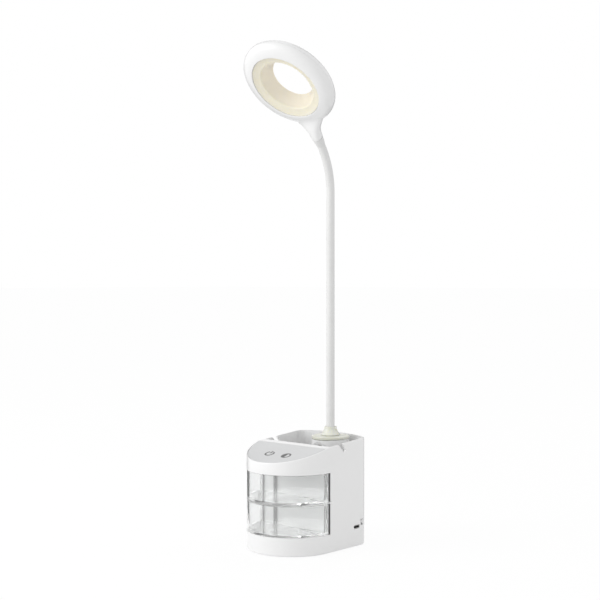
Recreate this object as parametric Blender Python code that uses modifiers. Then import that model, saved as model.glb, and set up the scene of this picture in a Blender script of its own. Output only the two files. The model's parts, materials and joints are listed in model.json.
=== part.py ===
"""LED desk lamp: a storage base with two clear drawers, a pen well and a phone slot,
a silicone gooseneck, and a ring-shaped head. Metres, +Z up, the front faces -Y.

Sizes and places are measured from the table, below the centre of the base's round front.
The whole lamp then moves so that the origin lies under the middle of its outline.
"""
import math

import bmesh
import bpy
from mathutils import Matrix, Vector

# Working gaps
GAP = 0.0003
OVERRUN = 0.004

# Base: plan and heights
BASE_RADIUS = 0.046
SIDE_LENGTH = 0.0535
CORNER_RADIUS = 0.012
REAR_RADIUS = 0.120
HOUSING_BOTTOM = 0.001
CREST_HEIGHT = 0.104
PANEL_SLOPE_SHARE = 0.29
RIM_SLOPE_SHARE = 0.085
WALL = 0.0022
BOTTOM_CHAMFER = 0.0008
PANEL_EDGE = 0.0010
RIM_EDGE = 0.0019

# Tray bay, with its deck, and the partition behind it
BAY_BOTTOM = 0.0190
BAY_HEADROOM = 0.0245
BAY_TOP = CREST_HEIGHT - BAY_HEADROOM
DECK = 0.0022
WINDOW_END = 0.0049
PARTITION = 0.0022

# Trays and the shelf between them
TRAY_WALL = 0.0016
TRAY_FLOOR = 0.0018
TRAY_BACK = 0.0021
TRAY_CORNER = 0.0040
TRAY_EDGE = 0.0004
SHELF = 0.0016
SHELF_HEIGHT = (BAY_BOTTOM + BAY_TOP) / 2
SHELF_TONGUE = 0.0012
GUIDE_WIDTH = 0.0030
GUIDE_HEIGHT = 0.0008
GRIP_RADIUS = 0.025
GRIP_RISE = 0.0027
GRIP_ANGLE = math.radians(18)

# Pen well, turret and phone notches
WELL_FLOOR = 0.0340
WELL_FLOOR_THICKNESS = 0.0020
NECK_X = 0.012
NECK_FROM_CORNER = 0.0085
NECK_Y = SIDE_LENGTH - NECK_FROM_CORNER
TURRET_RADIUS = 0.0193
TURRET_WALL = 0.0018
TURRET_RISE = 0.0028
TURRET_TOP = CREST_HEIGHT + TURRET_RISE
TURRET_RECESS = 0.0093
WEB_TOP = TURRET_TOP - TURRET_RECESS
WEB = 0.0024
NOTCH_DEPTH = 0.0078
NOTCH_FRONT = 0.0170
NOTCH_WIDTH = 0.0082
NOTCH_FOOT_WIDTH = 0.0052
NOTCH_LEAN = 0.0066

# Control panel and its touch board
PANEL_LIP = 0.0012
PANEL_BACK = 0.0012
PANEL = 0.0012
TOUCH_BOARD = 0.0012
POCKET_MARGIN = 0.0060
POCKET_DEPTH = 0.0050
LEDGE = 0.0020

# Underside
COVER = 0.0022
COVER_INSET = 0.0031
PLINTH_INSET = 0.0026
FOOT_RADIUS = 0.0050
FOOT_SEAT = 0.0011
FOOT_INSET = 0.0200
FOOT_FRONT_INSET = 0.0240
FOOT_REAR_INSET = 0.0075
FOOT_PLACES = [(side * (BASE_RADIUS - FOOT_INSET), y) for y in (FOOT_FRONT_INSET - BASE_RADIUS,
                                                                SIDE_LENGTH - FOOT_REAR_INSET) for side in (-1, 1)]
BOSS_RADIUS = 0.0034
BOSS_INSET = 0.0105
BOSS_SETBACK = 0.0040
SIDE_BOSS_SHIFT = 0.0010
REAR_BOSS_INSET = 0.0160
REAR_BOSS_SHIFT = 0.0075
BOSS_PLACES = ((BOSS_INSET - BASE_RADIUS, -BOSS_SETBACK), (BASE_RADIUS - BOSS_INSET, -BOSS_SETBACK),
               (BOSS_INSET - BASE_RADIUS, SIDE_LENGTH + SIDE_BOSS_SHIFT),
               (BASE_RADIUS - REAR_BOSS_INSET, SIDE_LENGTH + REAR_BOSS_SHIFT))
SCREW_RADIUS = 0.0013
SCREW_HEAD_RADIUS = 0.0025
SCREW_HEAD = 0.0009
SCREW_LENGTH = 0.0090
SCREW_DRIVE = 0.0012
SCREW_SLOT = 0.0005

# Ballast, battery and charging board
BALLAST = 0.0100
BALLAST_INSET = 0.0050
BALLAST_BACK = 0.0060
BATTERY_RADIUS = 0.0092
BATTERY_LENGTH = 0.0650
BATTERY_CLEARANCE = 0.0062
BATTERY_Y = WINDOW_END + PARTITION + BATTERY_CLEARANCE + BATTERY_RADIUS
BATTERY_LIFT = 0.0040
BATTERY_CAP = 0.0010
BATTERY_CAP_RADIUS = 0.0034
SADDLE = 0.0040
SADDLE_WIDTH = 0.0150
SADDLE_SPREAD = 0.0200
BOARD = 0.0016
BOARD_LEFT = -0.0140
BOARD_CLEARANCE = 0.0033
BOARD_FRONT = BATTERY_Y + BATTERY_RADIUS + BOARD_CLEARANCE
BOARD_PAST_CORNER = 0.0035
BOARD_BACK = SIDE_LENGTH + BOARD_PAST_CORNER
BOARD_HEIGHT = 0.0169
POST_RADIUS = 0.0022
POST_INSET = 0.0040
CHIP_SIZE = 0.0060
CHIP = 0.0012

# Charging socket and slide switch
SWITCH_PAST_CORNER = 0.0005
SWITCH_Y = SIDE_LENGTH + SWITCH_PAST_CORNER
PORT_FROM_SWITCH = 0.0081
PORT_Y = SWITCH_Y - PORT_FROM_SWITCH
PORT_WIDTH = 0.0088
PORT_HEIGHT = 0.0032
PORT_LENGTH = 0.0074
PORT_WALL = 0.0004
PORT_RECESS = 0.0005
PORT_RIM = 0.0013
TONGUE_WIDTH = 0.0064
TONGUE = 0.0007
SWITCH_WIDTH = 0.0060
SWITCH_DEPTH = 0.0054
SWITCH_HEIGHT = 0.0095
KNOB_WIDTH = 0.0028
KNOB_HEIGHT = 0.0034
KNOB_Z = 0.0252
KNOB_PROUD = 0.0021
KNOB_STEM = 0.0010
KNOB_TRAVEL = 0.0020
KNOB_EDGE = 0.0004

# Night light and neck socket
LENS = 0.0024
LENS_CROWN = 0.0006
LENS_SPIGOT = 0.0022
LENS_SPIGOT_WALL = 0.0016
NIGHT_BOARD = 0.0012
NIGHT_LEDS = 6
LED_SIZE = 0.0028
LED = 0.0008
SOCKET_RADIUS = 0.0070
SOCKET_STEM = 0.0047
SOCKET_REACH = 0.0088
SOCKET_RISE = 0.0122
SOCKET_TOP = TURRET_TOP + SOCKET_RISE
SOCKET_FLARE = 0.0078
SOCKET_WAIST = 0.0057
SOCKET_LIP = 0.0064
SOCKET_LIP_HEIGHT = 0.0014
SOCKET_LIP_ROOT = 0.0022
SOCKET_FLARE_SHARES = ((0.0, 0.62), (0.18, 0.40), (0.52, 0.18), (1.0, 0.0))
LENS_CROWN_SHARE = 0.75
SOCKET_SEAT = 0.0160
WIRE_HOLE = 0.0022
NUT_FLATS = 0.0140
NUT = 0.0042
LUG_RADIUS = 0.0013
LUG_REACH = 0.0012

# Gooseneck
NECK_RADIUS = 0.0042
NECK_STRAIGHT = 0.2395
BEND_RADIUS = 0.084
BEND_ANGLE = math.radians(40)
FIRST_HINGE = 0.0140
LINK_LENGTH = 0.0460
LINKS = 5
UPPER_HINGE = 0.2360
UPPER_LINK_LENGTH = 0.0260
UPPER_LINKS = 3
HINGES = ([FIRST_HINGE + i * LINK_LENGTH for i in range(LINKS)]
          + [UPPER_HINGE + i * UPPER_LINK_LENGTH for i in range(UPPER_LINKS)])
RIM_ANGLE = math.radians(30)
POLE_ANGLE = math.radians(78)
BALL_STEPS = 3
BEND_STEP = 0.0080
NECK_SIDES = 16
FERRULE_RADIUS = 0.0038
FERRULE_LENGTH = 0.0110
MOUTH_DEPTH = 0.0010

# Head: turned about its own axis, depths are measured back from the lit ring's edge
HEAD_TILT = math.radians(43.1)
NECK_REACH = 0.067
NECK_OFFSET = 0.0010
HEAD_RADIUS = 0.0501
LIT_RADIUS = 0.0370
PARTING = 0.0085
HEAD_DEPTH = 0.0180
BACK_RADIUS = 0.0400
SHELL = 0.0018
SLEEVE_FRONT_RADIUS = 0.0285
SLEEVE_FRONT = 0.0050
SLEEVE_BACK_RADIUS = 0.0225
DIFFUSER = 0.0016
DIFFUSER_RECESS = 0.0008
RING_BOARD = 0.0012
RING_BOARD_DEPTH = 0.0098
RING_BOARD_WIDTH = 0.0110
RING_LEDS = 12
RING_POSTS = 6
RING_POST_RADIUS = 0.0018
POST_STEPS = 10
RING_EDGE_STEPS = 4
HEAD_STEPS = 48

# Head's neck: half widths and half depths at shares of its reach
MOUTH_RADIUS = 0.0056
NECK_SECTION_SHARES = (1.0, 0.93, 0.86, 0.80, 0.74, 0.68, 0.62)
NECK_WIDTH_SHARES = (1.0, 1.06, 1.34, 1.80, 2.45, 3.20, 3.90)
NECK_DEPTH_SHARES = (1.0, 1.00, 1.02, 1.06, 1.10, 1.22, 1.39)
NECK_CENTRE_SHARES = (0.12, 0.22, 0.38, 0.56, 0.74, 0.90, 1.00)
NECK_POWER_SHARE = 0.86
CAVITY_DEPTH = 0.0130

FRONT_STEPS = 32
CORNER_STEPS = 5
REAR_STEPS = 6
ROUND_STEPS = 24
SMALL_STEPS = 14

COLOURS = {
    "white_plastic": ((0.88, 0.88, 0.87), 0.38, 0.0),
    "panel_white": ((0.80, 0.81, 0.81), 0.30, 0.0),
    "clear_plastic": ((0.93, 0.95, 0.96), 0.08, 0.0),
    "cream_lens": ((0.93, 0.89, 0.72), 0.35, 0.0),
    "opal_lit": ((0.98, 0.90, 0.70), 0.40, 0.0),
    "silicone": ((0.86, 0.86, 0.85), 0.50, 0.0),
    "rubber": ((0.10, 0.10, 0.10), 0.80, 0.0),
    "steel": ((0.60, 0.60, 0.60), 0.35, 1.0),
    "board_green": ((0.03, 0.20, 0.09), 0.45, 0.0),
    "board_white": ((0.85, 0.85, 0.83), 0.45, 0.0),
    "dark_plastic": ((0.05, 0.05, 0.05), 0.45, 0.0),
    "cell_wrap": ((0.10, 0.30, 0.55), 0.35, 0.0),
}


def clear_scene():
    for item in list(bpy.data.objects):
        bpy.data.objects.remove(item, do_unlink=True)


def make_collection(name):
    collection = bpy.data.collections.new(name)
    bpy.context.scene.collection.children.link(collection)
    return collection


def make_materials():
    made = {}
    for name, (colour, roughness, metallic) in COLOURS.items():
        material = bpy.data.materials.new(name)
        material.use_nodes = True
        shader = material.node_tree.nodes["Principled BSDF"]
        shader.inputs["Base Color"].default_value = (*colour, 1.0)
        shader.inputs["Roughness"].default_value = roughness
        shader.inputs["Metallic"].default_value = metallic
        material.diffuse_color = (*colour, 1.0)
        made[name] = material
    return made


def add_empty(name, parent=None):
    empty = bpy.data.objects.new(name, None)
    PARTS.objects.link(empty)
    empty.parent = parent
    return empty


clear_scene()
PARTS = make_collection("led_desk_lamp")
CUTTERS = make_collection("cutters")
MATERIALS = make_materials()
LAMP = add_empty("lamp")


def add_object(name, mesh, material=None, origin=(0, 0, 0), parent=None):
    """A piece when it has a material, a cutter when it has none."""
    item = bpy.data.objects.new(name, mesh)
    item.location = origin
    item.parent = parent or LAMP
    if material is None:
        CUTTERS.objects.link(item)
        item.hide_render = True
        item.display_type = "WIRE"
    else:
        PARTS.objects.link(item)
        mesh.materials.append(MATERIALS[material])
    return item


def mesh_from(name, bm):
    bmesh.ops.recalc_face_normals(bm, faces=bm.faces)
    mesh = bpy.data.meshes.new(name)
    bm.to_mesh(mesh)
    bm.free()
    mesh.shade_smooth()
    mesh.set_sharp_from_angle(angle=math.radians(35))
    return mesh


def box(name, low, high, material=None, origin=(0, 0, 0), parent=None):
    low, high = Vector(low), Vector(high)
    bm = bmesh.new()
    size = Matrix.Diagonal((*(high - low), 1))
    bmesh.ops.create_cube(bm, size=1, matrix=Matrix.Translation((low + high) / 2) @ size)
    return add_object(name, mesh_from(name, bm), material, origin, parent)


def cylinder(name, radius, start, end, material=None, steps=SMALL_STEPS, origin=(0, 0, 0), parent=None, top=None):
    """A round bar from start to end; top is its radius at the end, when it tapers."""
    start, end = Vector(start), Vector(end)
    along = end - start
    turn = Vector((0, 0, 1)).rotation_difference(along).to_matrix().to_4x4()
    bm = bmesh.new()
    bmesh.ops.create_cone(
        bm, cap_ends=True, segments=steps, radius1=radius, radius2=radius if top is None else top,
        depth=along.length, matrix=Matrix.Translation((start + end) / 2) @ turn)
    return add_object(name, mesh_from(name, bm), material, origin, parent)


def height_at(value, y):
    return value(y) if callable(value) else value


def prism(name, outline, low, high, material=None, origin=(0, 0, 0), parent=None):
    """An upright block over a plan outline; low and high are heights, or linear functions of y."""
    bm = bmesh.new()
    floor = [bm.verts.new((x, y, height_at(low, y))) for x, y in outline]
    roof = [bm.verts.new((x, y, height_at(high, y))) for x, y in outline]
    bm.faces.new(floor)
    bm.faces.new(roof)
    for i in range(len(outline)):
        j = (i + 1) % len(outline)
        bm.faces.new((floor[i], floor[j], roof[j], roof[i]))
    return add_object(name, mesh_from(name, bm), material, origin, parent)


def loft(name, rings, material=None, origin=(0, 0, 0), parent=None):
    """A closed skin over rings of equal count, capped at both ends."""
    bm = bmesh.new()
    rows = [[bm.verts.new(Vector(point) - Vector(origin)) for point in ring] for ring in rings]
    for lower, upper in zip(rows, rows[1:]):
        for i in range(len(lower)):
            j = (i + 1) % len(lower)
            bm.faces.new((lower[i], lower[j], upper[j], upper[i]))
    bm.faces.new(rows[0])
    bm.faces.new(rows[-1])
    return add_object(name, mesh_from(name, bm), material, origin, parent)


def turned(name, profile, material=None, steps=ROUND_STEPS, origin=(0, 0, 0), parent=None):
    """A ring turned from a closed profile of (radius, height), by a Screw modifier."""
    bm = bmesh.new()
    loop = [bm.verts.new((radius, 0, height)) for radius, height in profile]
    for i in range(len(loop)):
        bm.edges.new((loop[i], loop[(i + 1) % len(loop)]))
    mesh = bpy.data.meshes.new(name)
    bm.to_mesh(mesh)
    bm.free()
    item = add_object(name, mesh, material, origin, parent)
    screw = item.modifiers.new("turn", "SCREW")
    screw.steps = steps
    screw.render_steps = steps
    screw.use_merge_vertices = True
    screw.merge_threshold = 0.00001
    screw.use_smooth_shade = True
    return item


def boolean(item, other, operation):
    step = item.modifiers.new(operation.lower(), "BOOLEAN")
    step.operation = operation
    step.object = other
    step.solver = "EXACT"
    return item


def cut(item, *cutters):
    for cutter in cutters:
        boolean(item, cutter, "DIFFERENCE")
    return item


def join(item, *others):
    for other in others:
        boolean(item, other, "UNION")
    return item


def soften(item, width, segments=2):
    step = item.modifiers.new("edges", "BEVEL")
    step.width = width
    step.segments = segments
    step.limit_method = "ANGLE"
    step.angle_limit = math.radians(40)
    step.use_clamp_overlap = True
    return item


def arc(centre, radius, start, end, steps):
    """Points on an arc, both ends included."""
    return [(centre[0] + radius * math.cos(start + (end - start) * i / steps),
             centre[1] + radius * math.sin(start + (end - start) * i / steps)) for i in range(steps + 1)]


def base_outline(inset, front_only=None, rear_only=None):
    """The base's plan, drawn in by inset; it can stop at a line of constant y."""
    half = math.pi / 2
    points = arc((0, 0), BASE_RADIUS - inset, math.pi, 2 * math.pi, FRONT_STEPS)
    if front_only is not None:
        return points + [(BASE_RADIUS - inset, front_only), (inset - BASE_RADIUS, front_only)]
    if rear_only is not None:
        points = [(inset - BASE_RADIUS, rear_only), (BASE_RADIUS - inset, rear_only)]
    corner_x = BASE_RADIUS - CORNER_RADIUS
    reach = REAR_RADIUS - CORNER_RADIUS
    lean = math.asin(corner_x / reach)
    rear_centre = (0, SIDE_LENGTH - reach * math.cos(lean))
    corner = CORNER_RADIUS - inset
    points += arc((corner_x, SIDE_LENGTH), corner, 0, half - lean, CORNER_STEPS)
    points += arc(rear_centre, REAR_RADIUS - inset, half - lean, half + lean, REAR_STEPS)[1:-1]
    points += arc((-corner_x, SIDE_LENGTH), corner, half + lean, math.pi, CORNER_STEPS)
    return points


def top_height(y):
    """The sloping top: the panel falls to the front, the rim rises to the rear."""
    return CREST_HEIGHT + y * (PANEL_SLOPE_SHARE if y < 0 else RIM_SLOPE_SHARE)


def below_top(depth):
    return lambda y: top_height(y) - depth


def edge_round(y):
    """The top edge's radius grows from the panel to the rim."""
    return PANEL_EDGE + (RIM_EDGE - PANEL_EDGE) * min(max(y / NOTCH_FRONT, 0), 1)


def make_housing_body():
    """The outer form, lofted from the bottom chamfer to the rounded, two-sloped top."""
    outer = base_outline(0)

    def ring(share, drop_share):
        points = []
        for x, y in outer:
            radius = edge_round(y)
            inner_x, inner_y = shrink(x, y, radius * share)
            points.append((inner_x, inner_y, top_height(inner_y) - radius * drop_share))
        return points

    rings = [[(x, y, HOUSING_BOTTOM) for x, y in base_outline(BOTTOM_CHAMFER)],
             [(x, y, HOUSING_BOTTOM + BOTTOM_CHAMFER) for x, y in outer]]
    for i in range(4):
        angle = math.pi / 2 * i / 3
        rings.append(ring(1 - math.cos(angle), 1 - math.sin(angle)))
    bm = bmesh.new()
    rows = [[bm.verts.new(point) for point in points] for points in rings]
    for lower, upper in zip(rows, rows[1:]):
        for i in range(len(lower)):
            j = (i + 1) % len(lower)
            bm.faces.new((lower[i], lower[j], upper[j], upper[i]))
    bm.faces.new(rows[0])
    bm.faces.new(rows[-1][:FRONT_STEPS + 1])
    bm.faces.new(rows[-1][FRONT_STEPS:] + rows[-1][:1])
    return add_object("base_housing", mesh_from("base_housing", bm), "white_plastic")


def shrink(x, y, inset):
    """Moves a point of the outer plan inwards, square to the outline."""
    if y <= 0:
        length = math.hypot(x, y)
        return x * (1 - inset / length), y * (1 - inset / length)
    if y <= SIDE_LENGTH:
        return x - math.copysign(inset, x), y
    corner_x = BASE_RADIUS - CORNER_RADIUS
    reach = REAR_RADIUS - CORNER_RADIUS
    lean = math.asin(corner_x / reach)
    rear_y = SIDE_LENGTH - reach * math.cos(lean)
    if abs(math.atan2(x, y - rear_y)) < lean:
        centre = (0, rear_y)
    else:
        centre = (math.copysign(corner_x, x), SIDE_LENGTH)
    across, along = x - centre[0], y - centre[1]
    length = math.hypot(across, along)
    return x - across * inset / length, y - along * inset / length


PARTITION_REAR = WINDOW_END + PARTITION
BAY_CEILING = WELL_FLOOR - WELL_FLOOR_THICKNESS
REAR_TOP = CREST_HEIGHT + RIM_SLOPE_SHARE * (SIDE_LENGTH + REAR_RADIUS) + OVERRUN


def make_housing():
    housing = make_housing_body()
    reach = BASE_RADIUS + OVERRUN
    bay = box("bay_cutter", (-reach, -reach, BAY_BOTTOM), (reach, WINDOW_END, BAY_TOP))

    well = prism("well_cutter", base_outline(WALL, rear_only=PARTITION_REAR), WELL_FLOOR, REAR_TOP)
    turret = cylinder("turret_form", TURRET_RADIUS, (NECK_X, NECK_Y, WELL_FLOOR - OVERRUN),
                      (NECK_X, NECK_Y, TURRET_TOP), steps=2 * ROUND_STEPS)
    cut(well, turret)

    plinth = prism("plinth_cutter", base_outline(PLINTH_INSET, front_only=PARTITION_REAR + OVERRUN),
                   HOUSING_BOTTOM - OVERRUN, BAY_BOTTOM - DECK)
    chamber = prism("chamber_cutter", base_outline(WALL, rear_only=PARTITION_REAR),
                    HOUSING_BOTTOM - OVERRUN, BAY_CEILING)
    for i, (x, y) in enumerate(BOSS_PLACES):
        boss = cylinder(f"boss_form_{i}", BOSS_RADIUS, (x, y, HOUSING_BOTTOM + COVER + GAP), (x, y, TURRET_TOP))
        cut(plinth, boss)
        cut(chamber, boss)

    inside = TURRET_RADIUS - TURRET_WALL
    upper = cylinder("turret_upper_cutter", inside, (NECK_X, NECK_Y, WEB_TOP),
                     (NECK_X, NECK_Y, TURRET_TOP + OVERRUN), steps=2 * ROUND_STEPS)
    lower = cylinder("turret_lower_cutter", inside, (NECK_X, NECK_Y, BAY_CEILING - OVERRUN),
                     (NECK_X, NECK_Y, WEB_TOP - WEB), steps=2 * ROUND_STEPS)
    hole = cylinder("web_hole_cutter", SOCKET_STEM + GAP, (NECK_X, NECK_Y, WEB_TOP - WEB - OVERRUN),
                    (NECK_X, NECK_Y, WEB_TOP + OVERRUN), steps=ROUND_STEPS)
    cut(housing, bay, well, plinth, chamber, upper, lower, hole)

    recess = prism("panel_cutter", panel_outline(PANEL_LIP - GAP, PANEL_BACK - GAP),
                   below_top(PANEL + GAP), below_top(-OVERRUN))
    ledge = PANEL_LIP + LEDGE
    board = prism("touch_board_cutter", panel_outline(ledge - GAP, ledge - GAP),
                  below_top(PANEL + GAP + TOUCH_BOARD + GAP), below_top(-OVERRUN))
    pocket = prism("pocket_cutter", panel_outline(POCKET_MARGIN, POCKET_MARGIN),
                   below_top(PANEL + GAP + TOUCH_BOARD + POCKET_DEPTH), below_top(-OVERRUN))
    cut(housing, recess, board, pocket, notch_cutter())

    groove_low = SHELF_HEIGHT - GAP
    groove = box("shelf_groove_cutter", (-reach, WINDOW_END - OVERRUN, groove_low),
                 (reach, WINDOW_END + SHELF_TONGUE + GAP, groove_low + SHELF + 2 * GAP))
    cut(housing, groove)
    guide = box("deck_guide_form", (-GUIDE_WIDTH / 2, GUIDE_WIDTH - BASE_RADIUS, BAY_BOTTOM - DECK / 2),
                (GUIDE_WIDTH / 2, -GUIDE_WIDTH, BAY_BOTTOM + GUIDE_HEIGHT))
    join(housing, guide)

    for i, (x, y) in enumerate(BOSS_PLACES):
        pilot = cylinder(f"pilot_cutter_{i}", SCREW_RADIUS + GAP, (x, y, HOUSING_BOTTOM),
                         (x, y, HOUSING_BOTTOM + SCREW_LENGTH + OVERRUN))
        cut(housing, pilot)
    cut(housing, *port_cutters())
    return housing


def panel_outline(lip, back):
    """The crescent of the control panel: a lip inside the round front, and straight behind."""
    radius = BASE_RADIUS - lip
    start = math.pi + math.asin(back / radius)
    return arc((0, 0), radius, start, 3 * math.pi - start, FRONT_STEPS)


def notch_cutter():
    """The phone slot's notches through both side walls: a sloped front and a rounded foot."""
    crest = top_height(NOTCH_FRONT)
    foot = crest - NOTCH_DEPTH
    front = NOTCH_FRONT + NOTCH_LEAN
    rise = OVERRUN / NOTCH_DEPTH
    outline = [(NOTCH_FRONT - NOTCH_LEAN * rise, crest + OVERRUN), (front, foot + NOTCH_FOOT_WIDTH / 3)]
    centre = front + NOTCH_FOOT_WIDTH / 2
    outline += [(centre + NOTCH_FOOT_WIDTH / 2 * math.cos(angle),
                 foot + NOTCH_FOOT_WIDTH / 3 * (1 + math.sin(angle)))
                for angle in (math.radians(d) for d in range(200, 341, 20))]
    outline += [(front + NOTCH_FOOT_WIDTH, foot + NOTCH_FOOT_WIDTH / 3),
                (NOTCH_FRONT + NOTCH_WIDTH, crest), (NOTCH_FRONT + NOTCH_WIDTH, crest + OVERRUN)]
    reach = BASE_RADIUS + OVERRUN
    rings = [[(x, y, z) for y, z in outline] for x in (-reach, reach)]
    return loft("notch_cutter", rings)


BOARD_TOP = BOARD_HEIGHT + BOARD
PORT_LOW = BOARD_TOP + GAP
PORT_MOUTH = BASE_RADIUS - PORT_RECESS
BOARD_RIGHT = BASE_RADIUS - WALL - PORT_RIM


def rounded_slab(name, x_low, x_high, y, width, z_low, height, radius, material=None):
    """A bar along X whose section is a rectangle with rounded corners."""
    z = z_low + height / 2
    corners = ((1, 1, 0), (-1, 1, 1), (-1, -1, 2), (1, -1, 3))
    section = []
    for side, up, quarter in corners:
        centre = (y + side * (width / 2 - radius), z + up * (height / 2 - radius))
        section += arc(centre, radius, quarter * math.pi / 2, (quarter + 1) * math.pi / 2, 3)
    return loft(name, [[(x, a, b) for a, b in section] for x in (x_low, x_high)], material)


def port_cutters():
    port = rounded_slab("port_cutter", BASE_RADIUS - 2 * WALL, BASE_RADIUS + OVERRUN, PORT_Y,
                        PORT_WIDTH + 2 * GAP, PORT_LOW - GAP, PORT_HEIGHT + 2 * GAP, PORT_RIM)
    half = KNOB_WIDTH / 2 + GAP
    low = KNOB_Z - KNOB_HEIGHT / 2 - KNOB_TRAVEL - GAP
    high = KNOB_Z + KNOB_HEIGHT / 2 + GAP
    window = box("switch_cutter", (BASE_RADIUS - 2 * WALL, SWITCH_Y - half, low),
                 (BASE_RADIUS + OVERRUN, SWITCH_Y + half, high))
    return port, window


def make_socket_and_switch():
    back = PORT_MOUTH - PORT_LENGTH
    shell = rounded_slab("charge_socket_shell", back, PORT_MOUTH, PORT_Y, PORT_WIDTH, PORT_LOW, PORT_HEIGHT,
                         PORT_RIM, "steel")
    inner = rounded_slab("socket_inner_cutter", back + 2 * PORT_WALL, PORT_MOUTH + OVERRUN, PORT_Y,
                         PORT_WIDTH - 2 * PORT_WALL, PORT_LOW + PORT_WALL, PORT_HEIGHT - 2 * PORT_WALL,
                         PORT_RIM - PORT_WALL)
    cut(shell, inner)
    middle = PORT_LOW + PORT_HEIGHT / 2
    box("charge_socket_tongue", (back + 2 * PORT_WALL + GAP, PORT_Y - TONGUE_WIDTH / 2, middle - TONGUE / 2),
        (PORT_MOUTH - PORT_RIM, PORT_Y + TONGUE_WIDTH / 2, middle + TONGUE / 2), "dark_plastic")

    face = BASE_RADIUS - WALL - PORT_RIM
    body = box("switch_body", (face - SWITCH_DEPTH, SWITCH_Y - SWITCH_WIDTH / 2, BOARD_TOP + GAP),
               (face, SWITCH_Y + SWITCH_WIDTH / 2, BOARD_TOP + GAP + SWITCH_HEIGHT), "dark_plastic")
    half = KNOB_WIDTH / 2 + GAP
    slot = box("switch_slot_cutter",
               (face - KNOB_STEM - GAP, SWITCH_Y - half, KNOB_Z - KNOB_HEIGHT / 2 - KNOB_TRAVEL - GAP),
               (face + OVERRUN, SWITCH_Y + half, KNOB_Z + KNOB_HEIGHT / 2 + GAP))
    cut(body, slot)
    origin = (BASE_RADIUS, SWITCH_Y, KNOB_Z)
    knob = box("switch_knob", (face - KNOB_STEM - BASE_RADIUS, -KNOB_WIDTH / 2, -KNOB_HEIGHT / 2),
               (KNOB_PROUD, KNOB_WIDTH / 2, KNOB_HEIGHT / 2), "white_plastic", origin)
    soften(knob, KNOB_EDGE)


def make_control_panel():
    prism("control_panel", panel_outline(PANEL_LIP, PANEL_BACK), below_top(PANEL), below_top(0), "panel_white")
    ledge = PANEL_LIP + LEDGE
    prism("touch_board", panel_outline(ledge, ledge), below_top(PANEL + GAP + TOUCH_BOARD),
          below_top(PANEL + GAP), "board_green")


def bay_outline(inset, back):
    """The full D of the drawer bay: the round front and a straight back."""
    radius = BASE_RADIUS - inset
    return arc((0, 0), radius, math.pi, 2 * math.pi, FRONT_STEPS) + [(radius, back), (-radius, back)]


def tray_inside():
    """A drawer's inside in plan: the round front runs into two rounded rear corners."""
    radius = BASE_RADIUS - GAP - TRAY_WALL
    y = TRAY_BACK - TRAY_WALL - TRAY_CORNER
    x = math.sqrt((radius - TRAY_CORNER) ** 2 - y ** 2)
    meet = math.atan2(-y, x)
    points = arc((0, 0), radius, math.pi + meet, 2 * math.pi - meet, FRONT_STEPS)
    points += arc((x, y), TRAY_CORNER, -meet, math.pi / 2, CORNER_STEPS)[1:]
    points += arc((-x, y), TRAY_CORNER, math.pi / 2, math.pi + meet, CORNER_STEPS)[:-1]
    return points


def make_tray(name, low, high):
    """A clear drawer: thick rear corners, rounded inside, and finger grips at its lower edge."""
    origin = (0, 0, low)
    height = high - low
    tray = prism(name, bay_outline(GAP, TRAY_BACK), 0, height, "clear_plastic", origin)
    soften(tray, TRAY_EDGE, 1)
    inner = prism(f"{name}_inner_cutter", tray_inside(), TRAY_FLOOR, height + OVERRUN, origin=origin)
    groove = box(f"{name}_groove_cutter", (-GUIDE_WIDTH / 2 - GAP, -BASE_RADIUS - OVERRUN, -OVERRUN),
                 (GUIDE_WIDTH / 2 + GAP, TRAY_BACK + OVERRUN, GUIDE_HEIGHT), origin=origin)
    cut(tray, inner, groove)
    for side in (-1, 1):
        outward = Vector((side * math.cos(GRIP_ANGLE), -math.sin(GRIP_ANGLE), 0))
        start = outward * (BASE_RADIUS - TRAY_WALL * 2)
        end = outward * (BASE_RADIUS + OVERRUN)
        drop = Vector((0, 0, GRIP_RISE - GRIP_RADIUS))
        grip = cylinder(f"{name}_grip_cutter_{side}", GRIP_RADIUS, start + drop, end + drop,
                        steps=2 * ROUND_STEPS, origin=origin)
        cut(tray, grip)
    return tray


def make_trays():
    make_tray("lower_tray", BAY_BOTTOM + GAP, SHELF_HEIGHT - GAP)
    make_tray("upper_tray", SHELF_HEIGHT + SHELF + GAP, BAY_TOP - GAP)
    shelf = prism("tray_shelf", bay_outline(GAP, WINDOW_END + SHELF_TONGUE), SHELF_HEIGHT,
                  SHELF_HEIGHT + SHELF, "clear_plastic")
    guide = box("shelf_guide_form", (-GUIDE_WIDTH / 2, GUIDE_WIDTH - BASE_RADIUS, SHELF_HEIGHT + SHELF / 2),
                (GUIDE_WIDTH / 2, -GUIDE_WIDTH, SHELF_HEIGHT + SHELF + GUIDE_HEIGHT))
    join(shelf, guide)


def screw_hole(index, place, low):
    """A clearance hole with a counterbore, upwards from low."""
    x, y = place
    shank = cylinder(f"cover_hole_cutter_{index}", SCREW_RADIUS + GAP, (x, y, low - OVERRUN),
                     (x, y, low + COVER + OVERRUN))
    head = cylinder(f"cover_head_cutter_{index}", SCREW_HEAD_RADIUS + GAP, (x, y, low - OVERRUN),
                    (x, y, low + SCREW_HEAD + GAP))
    return shank, head


def make_screw(name, origin):
    """A pan-head screw pointing along its local +Z, with a cross drive in its head."""
    screw = cylinder(name, SCREW_HEAD_RADIUS, (0, 0, 0), (0, 0, SCREW_HEAD), "steel", origin=origin)
    shank = cylinder(f"{name}_shank_form", SCREW_RADIUS, (0, 0, SCREW_HEAD / 2), (0, 0, SCREW_LENGTH), origin=origin)
    join(screw, shank)
    for i, (across, along) in enumerate(((SCREW_DRIVE, SCREW_SLOT), (SCREW_SLOT, SCREW_DRIVE))):
        slot = box(f"{name}_drive_cutter_{i}", (-across / 2, -along / 2, -OVERRUN),
                   (across / 2, along / 2, SCREW_HEAD / 3), origin=origin)
        cut(screw, slot)


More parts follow.
